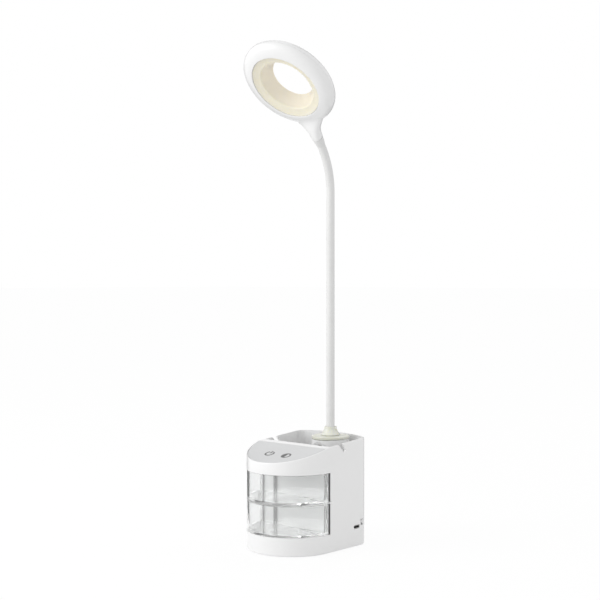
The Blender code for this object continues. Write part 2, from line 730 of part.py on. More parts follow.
def make_underside():
    low = HOUSING_BOTTOM
    top = low + COVER
    cover = prism("bottom_cover", base_outline(COVER_INSET), low, top, "white_plastic")
    seat = BATTERY_Y
    axis_height = top + BATTERY_LIFT + BATTERY_RADIUS
    saddle_cutter = cylinder("battery_bed_cutter", BATTERY_RADIUS + GAP,
                             (-BATTERY_LENGTH, seat, axis_height), (BATTERY_LENGTH, seat, axis_height),
                             steps=ROUND_STEPS)
    for i, side in enumerate((-1, 1)):
        x = side * SADDLE_SPREAD
        saddle = box(f"saddle_form_{i}", (x - SADDLE / 2, seat - SADDLE_WIDTH / 2, low + COVER / 2),
                     (x + SADDLE / 2, seat + SADDLE_WIDTH / 2, axis_height - BATTERY_RADIUS / 3))
        cut(saddle, saddle_cutter)
        join(cover, saddle)
    for i, (x, y) in enumerate(board_posts()):
        join(cover, cylinder(f"post_form_{i}", POST_RADIUS, (x, y, low + COVER / 2), (x, y, BOARD_HEIGHT - GAP)))
    for i, place in enumerate(BOSS_PLACES):
        cut(cover, *screw_hole(i, place, low))
        make_screw(f"cover_screw_{i + 1}", (*place, low))
    for i, (x, y) in enumerate(FOOT_PLACES):
        cut(cover, cylinder(f"foot_cutter_{i}", FOOT_RADIUS + GAP, (x, y, low - OVERRUN), (x, y, low + FOOT_SEAT)))
        foot = cylinder(f"foot_{i + 1}", FOOT_RADIUS, (0, 0, 0), (0, 0, low + FOOT_SEAT - GAP), "rubber",
                        origin=(x, y, 0))
        soften(foot, GAP, 1)

    ballast = prism("ballast_plate", base_outline(BALLAST_INSET, front_only=BALLAST_BACK), top + GAP,
                    top + GAP + BALLAST, "steel")
    for i, (x, y) in enumerate(BOSS_PLACES):
        if y < BALLAST_BACK:
            cut(ballast, cylinder(f"ballast_cutter_{i}", BOSS_RADIUS + GAP, (x, y, 0), (x, y, BAY_BOTTOM)))


def board_posts():
    left, right = BOARD_LEFT + POST_INSET, BOARD_RIGHT - 2 * POST_INSET
    front, back = BOARD_FRONT + POST_INSET, BOARD_BACK - POST_INSET
    return ((left, front), (left, back), (right, front), (right - POST_INSET, back))


def make_electronics():
    top = HOUSING_BOTTOM + COVER
    height = top + BATTERY_LIFT + BATTERY_RADIUS
    left, right = -BATTERY_LENGTH / 2, BATTERY_LENGTH / 2
    cell = cylinder("battery_cell", BATTERY_RADIUS, (left, BATTERY_Y, height), (right, BATTERY_Y, height),
                    "cell_wrap", steps=ROUND_STEPS)
    cap = cylinder("cell_cap_form", BATTERY_CAP_RADIUS, (right - BATTERY_CAP, BATTERY_Y, height),
                   (right + BATTERY_CAP, BATTERY_Y, height))
    join(cell, cap)

    board = box("charging_board", (BOARD_LEFT, BOARD_FRONT, BOARD_HEIGHT), (BOARD_RIGHT, BOARD_BACK, BOARD_TOP),
                "board_green")
    for i, (x, y) in enumerate(((BOARD_LEFT + CHIP_SIZE, BOARD_FRONT + CHIP_SIZE),
                                (NECK_X, BOARD_FRONT + CHIP_SIZE), (NECK_X, BOARD_BACK - CHIP_SIZE))):
        join(board, box(f"chip_form_{i}", (x - CHIP_SIZE / 2, y - CHIP_SIZE / 2, BOARD_TOP - BOARD / 2),
                        (x + CHIP_SIZE / 2, y + CHIP_SIZE / 2, BOARD_TOP + CHIP)))


def led_ring(item, name, count, radius, low, high, origin=(0, 0, 0), parent=None):
    """Small square LEDs soldered on a ring board."""
    for i in range(count):
        angle = 2 * math.pi * i / count
        chip = box(f"{name}_{i}", (radius - LED_SIZE / 2, -LED_SIZE / 2, low), (radius + LED_SIZE / 2, LED_SIZE / 2, high),
                   origin=origin, parent=parent)
        chip.rotation_euler = (0, 0, angle)
        join(item, chip)


def make_turret():
    place = (NECK_X, NECK_Y, 0)
    inside = TURRET_RADIUS - TURRET_WALL
    low = TURRET_TOP + GAP
    high = low + LENS
    hole = SOCKET_RADIUS + GAP
    spigot = inside - GAP
    turned("night_light_lens", [
        (hole, high + LENS_CROWN), ((hole + TURRET_RADIUS) / 2, high + LENS_CROWN * LENS_CROWN_SHARE),
        (TURRET_RADIUS - LENS_CROWN, high), (TURRET_RADIUS, high - LENS_CROWN), (TURRET_RADIUS, low), (spigot, low),
        (spigot, low - LENS_SPIGOT), (spigot - LENS_SPIGOT_WALL, low - LENS_SPIGOT),
        (spigot - LENS_SPIGOT_WALL, low + LENS / 4), (hole, low + LENS / 4)],
        "cream_lens", steps=2 * ROUND_STEPS, origin=place)

    board_low = WEB_TOP + GAP
    board_high = board_low + NIGHT_BOARD
    outer = inside - GAP
    inner = SOCKET_RADIUS + GAP
    board = turned("night_light_board", [(outer, board_high), (outer, board_low), (inner, board_low),
                                         (inner, board_high)], "board_white", origin=place)
    led_ring(board, "night_led_form", NIGHT_LEDS, (inner + outer) / 2, board_high - NIGHT_BOARD / 2,
             board_high + LED, origin=place)

    lens_top = high + LENS_CROWN + GAP
    stem_low = WEB_TOP - SOCKET_REACH
    bore = NECK_RADIUS + GAP
    seat = SOCKET_TOP - SOCKET_SEAT
    rise = SOCKET_TOP - lens_top
    flare = [(SOCKET_WAIST + (SOCKET_FLARE - SOCKET_WAIST) * out, lens_top + rise * up)
             for out, up in SOCKET_FLARE_SHARES]
    socket = turned("neck_socket", [
        (SOCKET_LIP, SOCKET_TOP), (SOCKET_LIP, SOCKET_TOP - SOCKET_LIP_HEIGHT),
        (SOCKET_WAIST, SOCKET_TOP - SOCKET_LIP_ROOT), *flare, (SOCKET_RADIUS, lens_top), (SOCKET_RADIUS, board_low),
        (SOCKET_STEM, board_low), (SOCKET_STEM, stem_low), (WIRE_HOLE, stem_low), (WIRE_HOLE, seat), (bore, seat),
        (bore, SOCKET_TOP)], "cream_lens", origin=place)
    for i, side in enumerate((-1, 1)):
        lug = cylinder(f"socket_lug_form_{i}", LUG_RADIUS,
                       (side * (SOCKET_WAIST - LUG_RADIUS / 2), 0, SOCKET_TOP - SOCKET_LIP_HEIGHT),
                       (side * (SOCKET_LIP + LUG_REACH), 0, SOCKET_TOP - SOCKET_LIP_HEIGHT), origin=place)
        join(socket, lug)

    nut_high = WEB_TOP - WEB - GAP
    nut = cylinder("socket_nut", NUT_FLATS / 2 / math.cos(math.pi / 6), (0, 0, nut_high - NUT), (0, 0, nut_high),
                   "steel", steps=6, origin=place)
    cut(nut, cylinder("nut_cutter", SOCKET_STEM + GAP, (0, 0, nut_high - NUT - OVERRUN),
                      (0, 0, nut_high + OVERRUN), steps=ROUND_STEPS, origin=place))


def neck_path(s):
    """Point and forward lean of the gooseneck's centre line, s along it from the socket's top."""
    bend = min(max(s - NECK_STRAIGHT, 0) / BEND_RADIUS, BEND_ANGLE)
    y = NECK_Y - BEND_RADIUS * (1 - math.cos(bend))
    z = SOCKET_TOP + min(s, NECK_STRAIGHT) + BEND_RADIUS * math.sin(bend)
    past = max(s - NECK_STRAIGHT - BEND_RADIUS * BEND_ANGLE, 0)
    return Vector((NECK_X, y - past * math.sin(bend), z + past * math.cos(bend))), bend


def neck_ring(s, offset, radius):
    """A ring round the centre line, moved by offset along the line's direction there."""
    centre, lean = neck_path(s)
    along = Vector((0, -math.sin(lean), math.cos(lean)))
    across = Vector((0, math.cos(lean), math.sin(lean)))
    side = Vector((1, 0, 0))
    centre = centre + along * offset
    return [centre + (side * math.cos(a) + across * math.sin(a)) * radius
            for a in (2 * math.pi * i / NECK_SIDES for i in range(NECK_SIDES))]


def cup_rings(s):
    """The hollow foot of a link, from the middle of its cup out to its rim."""
    radius = NECK_RADIUS + GAP
    rings = []
    for i in range(BALL_STEPS):
        angle = POLE_ANGLE + (RIM_ANGLE - POLE_ANGLE) * i / (BALL_STEPS - 1)
        rings.append(neck_ring(s, radius * math.sin(angle), radius * math.cos(angle)))
    rings.append(neck_ring(s, radius * math.sin(RIM_ANGLE), NECK_RADIUS))
    return rings


def ball_rings(s):
    """The round head of a link, about the next hinge."""
    return [neck_ring(s, NECK_RADIUS * math.sin(angle), NECK_RADIUS * math.cos(angle))
            for angle in (POLE_ANGLE * i / BALL_STEPS for i in range(BALL_STEPS + 1))]


def body_rings(start, end):
    """Plain rings along a link, close together where the line bends."""
    first = max(start, min(end, NECK_STRAIGHT))
    stops = [first]
    if end > first:
        count = math.ceil((end - first) / BEND_STEP)
        stops = [first + (end - first) * i / count for i in range(count)]
    return [neck_ring(s, 0, NECK_RADIUS) for s in stops if start < s < end]


def make_gooseneck():
    """A root stub, seven links that each ride on the ball of the one below, and the head's ferrule."""
    foot = SOCKET_SEAT - GAP
    rim = (NECK_RADIUS + GAP) * math.sin(RIM_ANGLE)
    loft("gooseneck_root", [neck_ring(0, -foot, NECK_RADIUS)] + ball_rings(HINGES[0]), "silicone",
         origin=neck_path(0)[0])
    for i, (start, end) in enumerate(zip(HINGES, HINGES[1:])):
        rings = cup_rings(start) + body_rings(start + rim, end) + ball_rings(end)
        loft(f"gooseneck_link_{i + 1}", rings, "silicone", origin=neck_path(start)[0])
    start = HINGES[-1]
    mouth = NECK_STRAIGHT + BEND_RADIUS * BEND_ANGLE
    rings = cup_rings(start) + body_rings(start + rim, mouth)
    rings += [neck_ring(mouth, MOUTH_DEPTH - GAP, NECK_RADIUS), neck_ring(mouth, MOUTH_DEPTH, FERRULE_RADIUS),
              neck_ring(mouth, FERRULE_LENGTH, FERRULE_RADIUS)]
    loft("neck_ferrule", rings, "silicone", origin=neck_path(start)[0])


def head_centre():
    """The lit ring's centre, placed from the mouth of the head's neck."""
    mouth = neck_path(NECK_STRAIGHT + BEND_RADIUS * BEND_ANGLE)[0]
    return mouth - Matrix.Rotation(-HEAD_TILT, 4, "X") @ Vector((0, NECK_REACH, NECK_OFFSET))


def make_head_frame():
    """Empties: one on the head's hinge, and one at the lit ring's centre with Z along the head's axis."""
    hinge = add_empty("head_hinge", LAMP)
    hinge.location = neck_path(HINGES[-1])[0]
    frame = add_empty("head_frame", hinge)
    frame.location = head_centre() - hinge.location
    frame.rotation_euler = (-HEAD_TILT, 0, 0)
    bpy.context.view_layer.update()
    return frame


def rim_curve(inset, start, end):
    """The head's outer section from the lit edge (0) over the widest line (1) to the flat back (2)."""
    points = []
    count = round((end - start) * RING_EDGE_STEPS)
    for i in range(count + 1):
        share = start + (end - start) * i / count
        angle = math.pi / 2 * share
        if share <= 1:
            radius = LIT_RADIUS + (HEAD_RADIUS - inset - LIT_RADIUS) * math.sin(angle)
            depth = PARTING - (PARTING - inset) * math.cos(angle)
        else:
            radius = BACK_RADIUS + (HEAD_RADIUS - inset - BACK_RADIUS) * math.sin(angle)
            depth = PARTING + (HEAD_DEPTH - inset - PARTING) * -math.cos(angle)
        points.append((radius, depth))
    return points


def head_section(share):
    """One oval section of the head's neck, at a share of its reach; local to the head's frame."""
    i = min(int(share), len(NECK_SECTION_SHARES) - 1)
    y = NECK_REACH * NECK_SECTION_SHARES[i]
    half_width = MOUTH_RADIUS * NECK_WIDTH_SHARES[i]
    half_depth = MOUTH_RADIUS * NECK_DEPTH_SHARES[i]
    depth = PARTING * NECK_CENTRE_SHARES[i]
    ring = []
    for k in range(ROUND_STEPS):
        angle = 2 * math.pi * k / ROUND_STEPS
        across = math.copysign(abs(math.cos(angle)) ** NECK_POWER_SHARE, math.cos(angle))
        up = math.copysign(abs(math.sin(angle)) ** NECK_POWER_SHARE, math.sin(angle))
        ring.append((half_width * across, y, depth + half_depth * up))
    return ring


def split_outline(above):
    """The parting between the head's halves, seen from the side: level, then down along the neck."""
    shift = GAP / 2 if above else -GAP / 2
    bend = NECK_REACH * NECK_SECTION_SHARES[-1]
    mouth = NECK_REACH + OVERRUN
    reach = HEAD_RADIUS + OVERRUN
    line = [(-reach, PARTING + shift), (bend, PARTING + shift),
            (NECK_REACH, NECK_OFFSET + shift), (mouth, NECK_OFFSET + shift)]
    far = HEAD_DEPTH + 2 * OVERRUN if above else -HEAD_DEPTH
    return line + [(mouth, far), (-reach, far)]


def head_half(name, above, frame):
    """One half of the head's case: ring and neck joined, then parted and hollowed."""
    full = turned(name, [(SLEEVE_BACK_RADIUS + SHELL, HEAD_DEPTH)] + list(reversed(rim_curve(0, 0, 2)))
                  + [(LIT_RADIUS, DIFFUSER), (SLEEVE_BACK_RADIUS + SHELL, DIFFUSER)],
                  "white_plastic", steps=HEAD_STEPS, parent=frame)
    neck = loft(f"{name}_neck_form", [head_section(i) for i in range(len(NECK_SECTION_SHARES))], parent=frame)
    join(full, neck)
    wide = HEAD_RADIUS + OVERRUN
    keep = loft(f"{name}_half_form", [[(x, y, z) for y, z in split_outline(above)] for x in (-wide, wide)],
                parent=frame)
    boolean(full, keep, "INTERSECT")
    return full


def sleeve_radius(depth):
    """The tapered sleeve's inner radius."""
    slope = (SLEEVE_FRONT_RADIUS - SLEEVE_BACK_RADIUS) / (HEAD_DEPTH - SLEEVE_FRONT)
    return SLEEVE_FRONT_RADIUS - slope * (depth - SLEEVE_FRONT)


def make_head(frame):
    outer = HEAD_RADIUS - SHELL
    shell = head_half("head_shell", True, frame)
    bezel = head_half("head_bezel", False, frame)

    floor = HEAD_DEPTH - SHELL
    cavity = turned("head_cavity_cutter", [
        (sleeve_radius(floor) + SHELL + GAP, floor), (BACK_RADIUS, floor), (outer - SHELL, CAVITY_DEPTH),
        (outer, PARTING), (LIT_RADIUS + SHELL + GAP, SHELL + DIFFUSER), (LIT_RADIUS + SHELL + GAP, DIFFUSER),
        (LIT_RADIUS, DIFFUSER), (LIT_RADIUS, -OVERRUN), (SLEEVE_BACK_RADIUS / 2, -OVERRUN),
        (SLEEVE_BACK_RADIUS / 2, floor)], steps=HEAD_STEPS, parent=frame)
    across = SLEEVE_FRONT_RADIUS + SHELL + GAP + RING_BOARD_WIDTH / 2
    for i in range(RING_POSTS):
        angle = 2 * math.pi * i / RING_POSTS
        x, y = across * math.cos(angle), across * math.sin(angle)
        cut(cavity, cylinder(f"ring_post_form_{i}", RING_POST_RADIUS, (x, y, RING_BOARD_DEPTH + RING_BOARD + GAP),
                             (x, y, HEAD_DEPTH), steps=POST_STEPS, parent=frame))
    top, low = HEAD_DEPTH + OVERRUN, floor - SHELL
    core = SLEEVE_BACK_RADIUS / 2
    hole = turned("head_hole_cutter", [(sleeve_radius(top) + SHELL + GAP, top), (sleeve_radius(low) + SHELL + GAP, low),
                                       (core, low), (core, top)], steps=HEAD_STEPS, parent=frame)
    mouth = NECK_STRAIGHT + BEND_RADIUS * BEND_ANGLE
    bore = loft("ferrule_cutter", [neck_ring(mouth, -OVERRUN, NECK_RADIUS + GAP),
                                   neck_ring(mouth, MOUTH_DEPTH, NECK_RADIUS + GAP),
                                   neck_ring(mouth, MOUTH_DEPTH, FERRULE_RADIUS + GAP),
                                   neck_ring(mouth, FERRULE_LENGTH + GAP, FERRULE_RADIUS + GAP)])
    for half in (shell, bezel):
        cut(half, cavity, hole, bore)


def make_head_inside(frame):
    back = HEAD_DEPTH
    front = SLEEVE_FRONT
    turned("inner_sleeve", [
        (sleeve_radius(front) + SHELL, front + GAP), (sleeve_radius(back) + SHELL, back),
        (sleeve_radius(back), back), (sleeve_radius(front), front + GAP)][::-1],
        "opal_lit", steps=HEAD_STEPS, parent=frame)
    edge = LIT_RADIUS - GAP
    foot = SLEEVE_FRONT_RADIUS + GAP
    turned("diffuser_ring", [
        (edge, DIFFUSER_RECESS), (foot, SLEEVE_FRONT - GAP), (foot + SHELL, SLEEVE_FRONT - GAP),
        (edge, DIFFUSER_RECESS + 2 * DIFFUSER)], "opal_lit", steps=HEAD_STEPS, parent=frame)
    inner = SLEEVE_FRONT_RADIUS + SHELL + GAP
    ring = turned("led_board", [
        (inner + RING_BOARD_WIDTH, RING_BOARD_DEPTH + RING_BOARD), (inner + RING_BOARD_WIDTH, RING_BOARD_DEPTH),
        (inner, RING_BOARD_DEPTH), (inner, RING_BOARD_DEPTH + RING_BOARD)], "board_white", steps=HEAD_STEPS,
        parent=frame)
    led_ring(ring, "led_form", RING_LEDS, inner + RING_BOARD_WIDTH / 2, RING_BOARD_DEPTH - LED,
             RING_BOARD_DEPTH + RING_BOARD / 2, parent=frame)


def stand_over_origin():
    """Moves the lamp so that the middle of its outline, seen from above, is over the origin."""
    left, right = -BASE_RADIUS, NECK_X + HEAD_RADIUS
    front = head_centre().y + PARTING * math.sin(HEAD_TILT) - HEAD_RADIUS * math.cos(HEAD_TILT)
    reach = REAR_RADIUS - CORNER_RADIUS
    rear = SIDE_LENGTH - math.sqrt(reach ** 2 - (BASE_RADIUS - CORNER_RADIUS) ** 2) + REAR_RADIUS
    LAMP.location = (-(left + right) / 2, -(front + rear) / 2, 0)


def main():
    make_housing()
    make_socket_and_switch()
    make_control_panel()
    make_trays()
    make_underside()
    make_electronics()
    make_turret()
    make_gooseneck()
    frame = make_head_frame()
    make_head(frame)
    make_head_inside(frame)
    stand_over_origin()


main()
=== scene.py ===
"""Looks of a cordless LED desk lamp: a white storage base with two clear drawers, a cream
night light round the foot of its gooseneck, and a ring-shaped head that is lit.

Sizes and places of the pieces are measured, as the lamp's designer would, from a point on
the table below the centre of the base's round front. PLACE is that point in the scene.
"""

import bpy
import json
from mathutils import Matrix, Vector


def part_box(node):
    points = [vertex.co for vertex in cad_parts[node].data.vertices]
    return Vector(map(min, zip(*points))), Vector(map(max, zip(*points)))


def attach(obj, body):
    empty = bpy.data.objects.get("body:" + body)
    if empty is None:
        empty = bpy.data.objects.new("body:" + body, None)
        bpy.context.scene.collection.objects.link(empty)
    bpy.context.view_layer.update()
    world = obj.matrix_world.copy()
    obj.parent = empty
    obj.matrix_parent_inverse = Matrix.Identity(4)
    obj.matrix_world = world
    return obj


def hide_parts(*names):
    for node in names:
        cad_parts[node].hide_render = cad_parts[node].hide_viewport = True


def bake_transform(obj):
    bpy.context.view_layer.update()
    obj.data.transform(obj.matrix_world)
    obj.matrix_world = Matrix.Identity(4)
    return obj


bl_info = {
    "name": "LED Desk Lamp",
    "version": (1, 0, 0),
    "blender": (4, 5, 0),
    "location": "View3D > Sidebar > Desk Lamp",
    "description": "Builds the finished surfaces of an LED desk lamp with drawers, pen well and gooseneck",
    "category": "Add Mesh",
}

import json
import math

import bmesh
import bpy
from bpy.props import FloatProperty, FloatVectorProperty, IntProperty, PointerProperty
from mathutils import Matrix, Vector

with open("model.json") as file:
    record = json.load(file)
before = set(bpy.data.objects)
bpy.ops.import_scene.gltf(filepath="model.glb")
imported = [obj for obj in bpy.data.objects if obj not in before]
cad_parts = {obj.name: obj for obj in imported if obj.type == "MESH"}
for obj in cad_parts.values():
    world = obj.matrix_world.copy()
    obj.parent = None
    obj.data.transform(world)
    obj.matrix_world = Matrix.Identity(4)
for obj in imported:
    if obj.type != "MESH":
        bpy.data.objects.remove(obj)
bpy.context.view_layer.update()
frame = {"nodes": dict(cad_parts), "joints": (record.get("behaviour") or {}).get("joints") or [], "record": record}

HOUSING_LOW, HOUSING_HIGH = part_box("base_housing")
LENS_LOW, LENS_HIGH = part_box("night_light_lens")
SOCKET_LOW, SOCKET_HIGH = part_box("neck_socket")
RADIUS = (HOUSING_HIGH.x - HOUSING_LOW.x) / 2
PLACE = Vector((HOUSING_LOW.x + RADIUS, HOUSING_LOW.y + RADIUS, 0))
NECK_X = (LENS_LOW.x + LENS_HIGH.x) / 2 - PLACE.x
NECK_Y = (LENS_LOW.y + LENS_HIGH.y) / 2 - PLACE.y
NECK = (NECK_X, NECK_Y)

GAP = 0.0003
OVERRUN = 0.004
WELD = 0.00002
SOFT_ANGLE = math.radians(32)
SHARP_ANGLE = math.radians(35)
TURN = 2 * math.pi
HALF_TURN = math.pi
QUARTER = math.pi / 2

# Base: the plan and the sloping top
SIDE_LENGTH = 0.0535
CORNER_RADIUS = 0.012
REAR_RADIUS = 0.120
CREST_HEIGHT = 0.104
PANEL_SLOPE_SHARE = 0.29
RIM_SLOPE_SHARE = 0.085
WALL = 0.0022
BOTTOM_CHAMFER = 0.0008
PANEL_EDGE = 0.0010
RIM_EDGE = 0.0019
EDGE_STEPS = 6
CORNER_PART = 6

# Bay for the drawers, and the partition behind it
BAY_BOTTOM = 0.0190
BAY_TOP = 0.0795
DECK = 0.0022
WINDOW_END = 0.0049
PARTITION_REAR = 0.0071
GUIDE_WIDTH = 0.0030
GUIDE_HEIGHT = 0.0008

# Drawers and shelf
TRAY_WALL = 0.0016
TRAY_FLOOR = 0.0018
TRAY_BACK = 0.0021
TRAY_CORNER = 0.0040
SHELF = 0.0016
SHELF_HEIGHT = (BAY_BOTTOM + BAY_TOP) / 2
SHELF_TONGUE = 0.0012
GRIP_RADIUS = 0.025
GRIP_RISE = 0.0027
GRIP_ANGLE = math.radians(18)
GRIP_STEPS = 128
# Dark strips behind the drawers, placed and coloured as painted shade for the gaps at the back of the bay
SHADE_STRIP_WIDTHS = (0.0020, 0.0030, 0.0022)
SHADE_STRIP_PLACES = (-0.0446, -0.0265, 0.0446)

# Pen well, turret and the notches of the phone slot
WELL_FLOOR = 0.0340
WELL_FLOOR_THICKNESS = 0.0020
TURRET_RADIUS = 0.0193
TURRET_WALL = 0.0018
TURRET_TOP = 0.1068
WEB_TOP = 0.0975
WEB = 0.0024
NOTCH_DEPTH = 0.0078
NOTCH_FRONT = 0.0170
NOTCH_WIDTH = 0.0082
NOTCH_FOOT_WIDTH = 0.0052
NOTCH_LEAN = 0.0066
NOTCH_FOOT_DEGREES = range(190, 351, 10)

# Control panel, its printed symbols and the pocket for its board
PANEL_LIP = 0.0012
PANEL = 0.0012
PANEL_EDGE_SHARE = 0.7
TOUCH_BOARD = 0.0012
LEDGE = 0.0020
POCKET_MARGIN = 0.0060
POCKET_DEPTH = 0.0050
SYMBOL_ROW = -0.0252
SYMBOL_SHIFT = 0.0034
SYMBOL_SPREAD = 0.0110
SYMBOL_STEPS = 24
POWER_STEPS = 40
POWER_OPENING = math.radians(38)
POWER_STEM = (0.15, 1.05)
INK_LIFT = 0.00004
INK = 0.00003

# Underside and right wall
PLINTH_INSET = 0.0026
COVER = 0.0022
BOSS_RADIUS = 0.0034
BOSS_PLACES = ((-0.0355, -0.0040), (0.0355, -0.0040), (-0.0355, 0.0545), (0.0300, 0.0610))
FOOT_HOLE = 0.0005
FOOT_STEPS = 64
PORT_Y = 0.0459
PORT_WIDTH = 0.0088
PORT_HEIGHT = 0.0032
PORT_LENGTH = 0.0074
PORT_WALL = 0.0004
PORT_RECESS = 0.0005
PORT_RIM = 0.0013
PORT_LOW = 0.0188
SLAB_STEPS = 6
SWITCH_Y = 0.0540
KNOB_WIDTH = 0.0028
KNOB_HEIGHT = 0.0034
KNOB_Z = 0.0252
KNOB_TRAVEL = 0.0020

# Night light and neck socket
LENS_CROWN = 0.0006
CROWN_STEPS = 8
LENS_SPIGOT = 0.0022
LENS_SPIGOT_WALL = 0.0016
SOCKET_RADIUS = 0.0070
SOCKET_STEM = 0.0047
SOCKET_WAIST = 0.0057
SOCKET_LIP = 0.0064
SOCKET_LIP_HEIGHT = 0.0014
SOCKET_LIP_ROOT = 0.0022
SOCKET_LIP_ROUND = 0.6
SOCKET_SEAT = 0.0160
SOCKET_TOP = SOCKET_HIGH.z
WIRE_HOLE = 0.0022
LUG_RADIUS = 0.0013
LUG_REACH = 0.0012
LUG_ROUND = 0.45
SKIRT_RADIUS = 0.0098
SKIRT_WAIST = 0.0063
SKIRT_CURVE = 1.3
SKIRT_STEPS = 12

# Gooseneck
NECK_RADIUS = 0.0042
NECK_STRAIGHT = 0.2395
NECK_STEP = 0.002
TUBE_SIDES = 40
BEND_RADIUS = 0.084
BEND_ANGLE = math.radians(40)
FERRULE_RADIUS = 0.0038
FERRULE_LENGTH = 0.0110
MOUTH_DEPTH = 0.0010
COLLAR_LENGTH = 0.0078
COLLAR_RADIUS = 0.0054
COLLAR_SHARE = 0.97
COLLAR_CURVE = 0.6
COLLAR_STOPS = (0.06, 0.2, 0.5, 1.0)
NECK_REST = NECK_STRAIGHT + BEND_RADIUS * BEND_ANGLE
NECK_JOINTS = [joint for joint in frame["joints"] if joint["name"].startswith(("neck_", "head_"))]

# Head: turned about its own axis, depths are measured back from the lit ring's edge
HEAD_TILT = math.radians(43.1)
NECK_REACH = 0.067
NECK_OFFSET = 0.0010
HEAD_RADIUS = 0.0501
LIT_RADIUS = 0.0370
PARTING = 0.0085
HEAD_DEPTH = 0.0180
BACK_RADIUS = 0.0400
SHELL = 0.0018
SLEEVE_FRONT_RADIUS = 0.0285
SLEEVE_FRONT = 0.0050
SLEEVE_BACK_RADIUS = 0.0225
DIFFUSER = 0.0016
DIFFUSER_RECESS = 0.0008
CAVITY_DEPTH = 0.0130
MOUTH_RADIUS = 0.0056
NECK_SECTION_SHARES = (1.0, 0.93, 0.86, 0.80, 0.74, 0.68, 0.62)
NECK_WIDTH_SHARES = (1.0, 1.06, 1.34, 1.80, 2.45, 3.20, 3.90)
NECK_DEPTH_SHARES = (1.0, 1.00, 1.02, 1.06, 1.10, 1.22, 1.39)
NECK_CENTRE_SHARES = (0.12, 0.22, 0.38, 0.56, 0.74, 0.90, 1.00)
NECK_POWER_SHARE = 0.86
NECK_RINGS = 36
OVAL_SIDES = 64
RIM_STEPS = 24
FILLET_PASSES = 10
SEAM = 0.0001
RING_LIP = 0.0019

# Stage: floor, backdrop, dark cards beside it, key light and the picture's shift
FLOOR_COLOUR = (0.84, 0.84, 0.84, 1)
FLOOR_SIZE = 30
BACKDROP = 1.02
BACKDROP_SHARE = 0.9
CARD_SIDE = 0.125
CARD_NEAR = 0.08
CARD_FAR = 0.36
CARD_TOP = 1.20
CARD_COLOUR = (0.02, 0.02, 0.02, 1)
KEY_PLACE = Vector((-0.9, -1.3, 0.75))
KEY_TARGET = Vector((0, 0, 0.25))
KEY_SIZE = 0.9
SHIFT = (7.6 / 600, -21 / 600)

# Shared effects: their tones, their noise and the ranges that turn it into masks
PALE = (0.88, 0.88, 0.87, 1)
PALE_SHADE = (0.82, 0.82, 0.80, 1)
DUST = (0.62, 0.60, 0.56, 1)
FILM = (0.965, 0.967, 0.965, 1)
NOISE_TURN = (0.5, 0.3, 0.7)
COARSE_SIZE = 2.7
COARSE_SHARE = 0.6
TONE_RANGE = (0.35, 0.75)
SCUFF_STRETCHES = ((1.0, 14.0, 9.0), (11.0, 1.0, 16.0))
SCUFF_RANGE = (0.60, 0.72)
UPWARD_RANGE = (0.5, 0.95)
SPECK_SIZE = 0.0012
SPECK_RANGE = (0.4, 0.8)
TRAPPED_DEPTH = 3.5

# Sockets of the Mix node for colours, by index: it has others with the same names
MIX_FIRST, MIX_SECOND, MIX_RESULT = 6, 7, 2


# Meshes

def new_piece(name, bm, matrix=None):
    """An object from a bmesh, its faces turned outwards, standing at PLACE unless a matrix is given."""
    bmesh.ops.recalc_face_normals(bm, faces=bm.faces)
    mesh = bpy.data.meshes.new(name)
    bm.to_mesh(mesh)
    bm.free()
    item = bpy.data.objects.new(name, mesh)
    bpy.context.scene.collection.objects.link(item)
    item.matrix_world = Matrix.Translation(PLACE) if matrix is None else matrix
    return item


def loft(name, rings, matrix=None, split=None):
    """A closed skin over rings of equal count, capped at both ends; split parts the last cap in two."""
    bm = bmesh.new()
    rows = [[bm.verts.new(point) for point in ring] for ring in rings]
    for lower, upper in zip(rows, rows[1:]):
        for i in range(len(lower)):
            j = (i + 1) % len(lower)
            bm.faces.new((lower[i], lower[j], upper[j], upper[i]))
    last = rows[-1]
    for cap in (rows[0], last) if split is None else (rows[0], last[:split + 1], last[split:] + last[:1]):
        bm.faces.new(cap)
    return new_piece(name, bm, matrix)


def prism(name, outline, low, high):
    """An upright block over a plan outline; low and high are heights, or functions of y."""
    heights = [value if callable(value) else (lambda y, height=value: height) for value in (low, high)]
    return loft(name, [[(x, y, height(y)) for x, y in outline] for height in heights])


def box(name, low, high):
    """A block between its lowest and its highest corner."""
    outline = [(low[0], low[1]), (high[0], low[1]), (high[0], high[1]), (low[0], high[1])]
    return prism(name, outline, low[2], high[2])


def turned(name, profile, steps, matrix=None, centre=(0, 0)):
    """A ring turned from a closed profile of (radius, height) about an upright line through centre."""
    bm = bmesh.new()
    rows = []
    for k in range(steps):
        angle = TURN * k / steps
        rows.append([bm.verts.new((centre[0] + radius * math.cos(angle), centre[1] + radius * math.sin(angle),
                                   height)) for radius, height in profile])
    for k in range(steps):
        here, after = rows[k], rows[(k + 1) % steps]
        for i in range(len(profile)):
            j = (i + 1) % len(profile)
            bm.faces.new((here[i], after[i], after[j], here[j]))
    return new_piece(name, bm, matrix)


def bar(name, radius, start, end, steps=32):
    """A round bar between two points."""
    start, end = Vector(start), Vector(end)
    along = end - start
    turn = Vector((0, 0, 1)).rotation_difference(along).to_matrix().to_4x4()
    bm = bmesh.new()
    bmesh.ops.create_cone(bm, cap_ends=True, segments=steps, radius1=radius, radius2=radius,
                          depth=along.length, matrix=Matrix.Translation((start + end) / 2) @ turn)
    return new_piece(name, bm)


def post(name, radius, low, high, steps=32, place=NECK):
    """An upright round bar, under the gooseneck unless a place is given."""
    return bar(name, radius, (*place, low), (*place, high), steps)


def settle(item):
    """Applies the modifiers of a piece."""
    bpy.context.view_layer.update()
    graph = bpy.context.evaluated_depsgraph_get()
    mesh = bpy.data.meshes.new_from_object(item.evaluated_get(graph))
    item.modifiers.clear()
    item.data = mesh
    return item


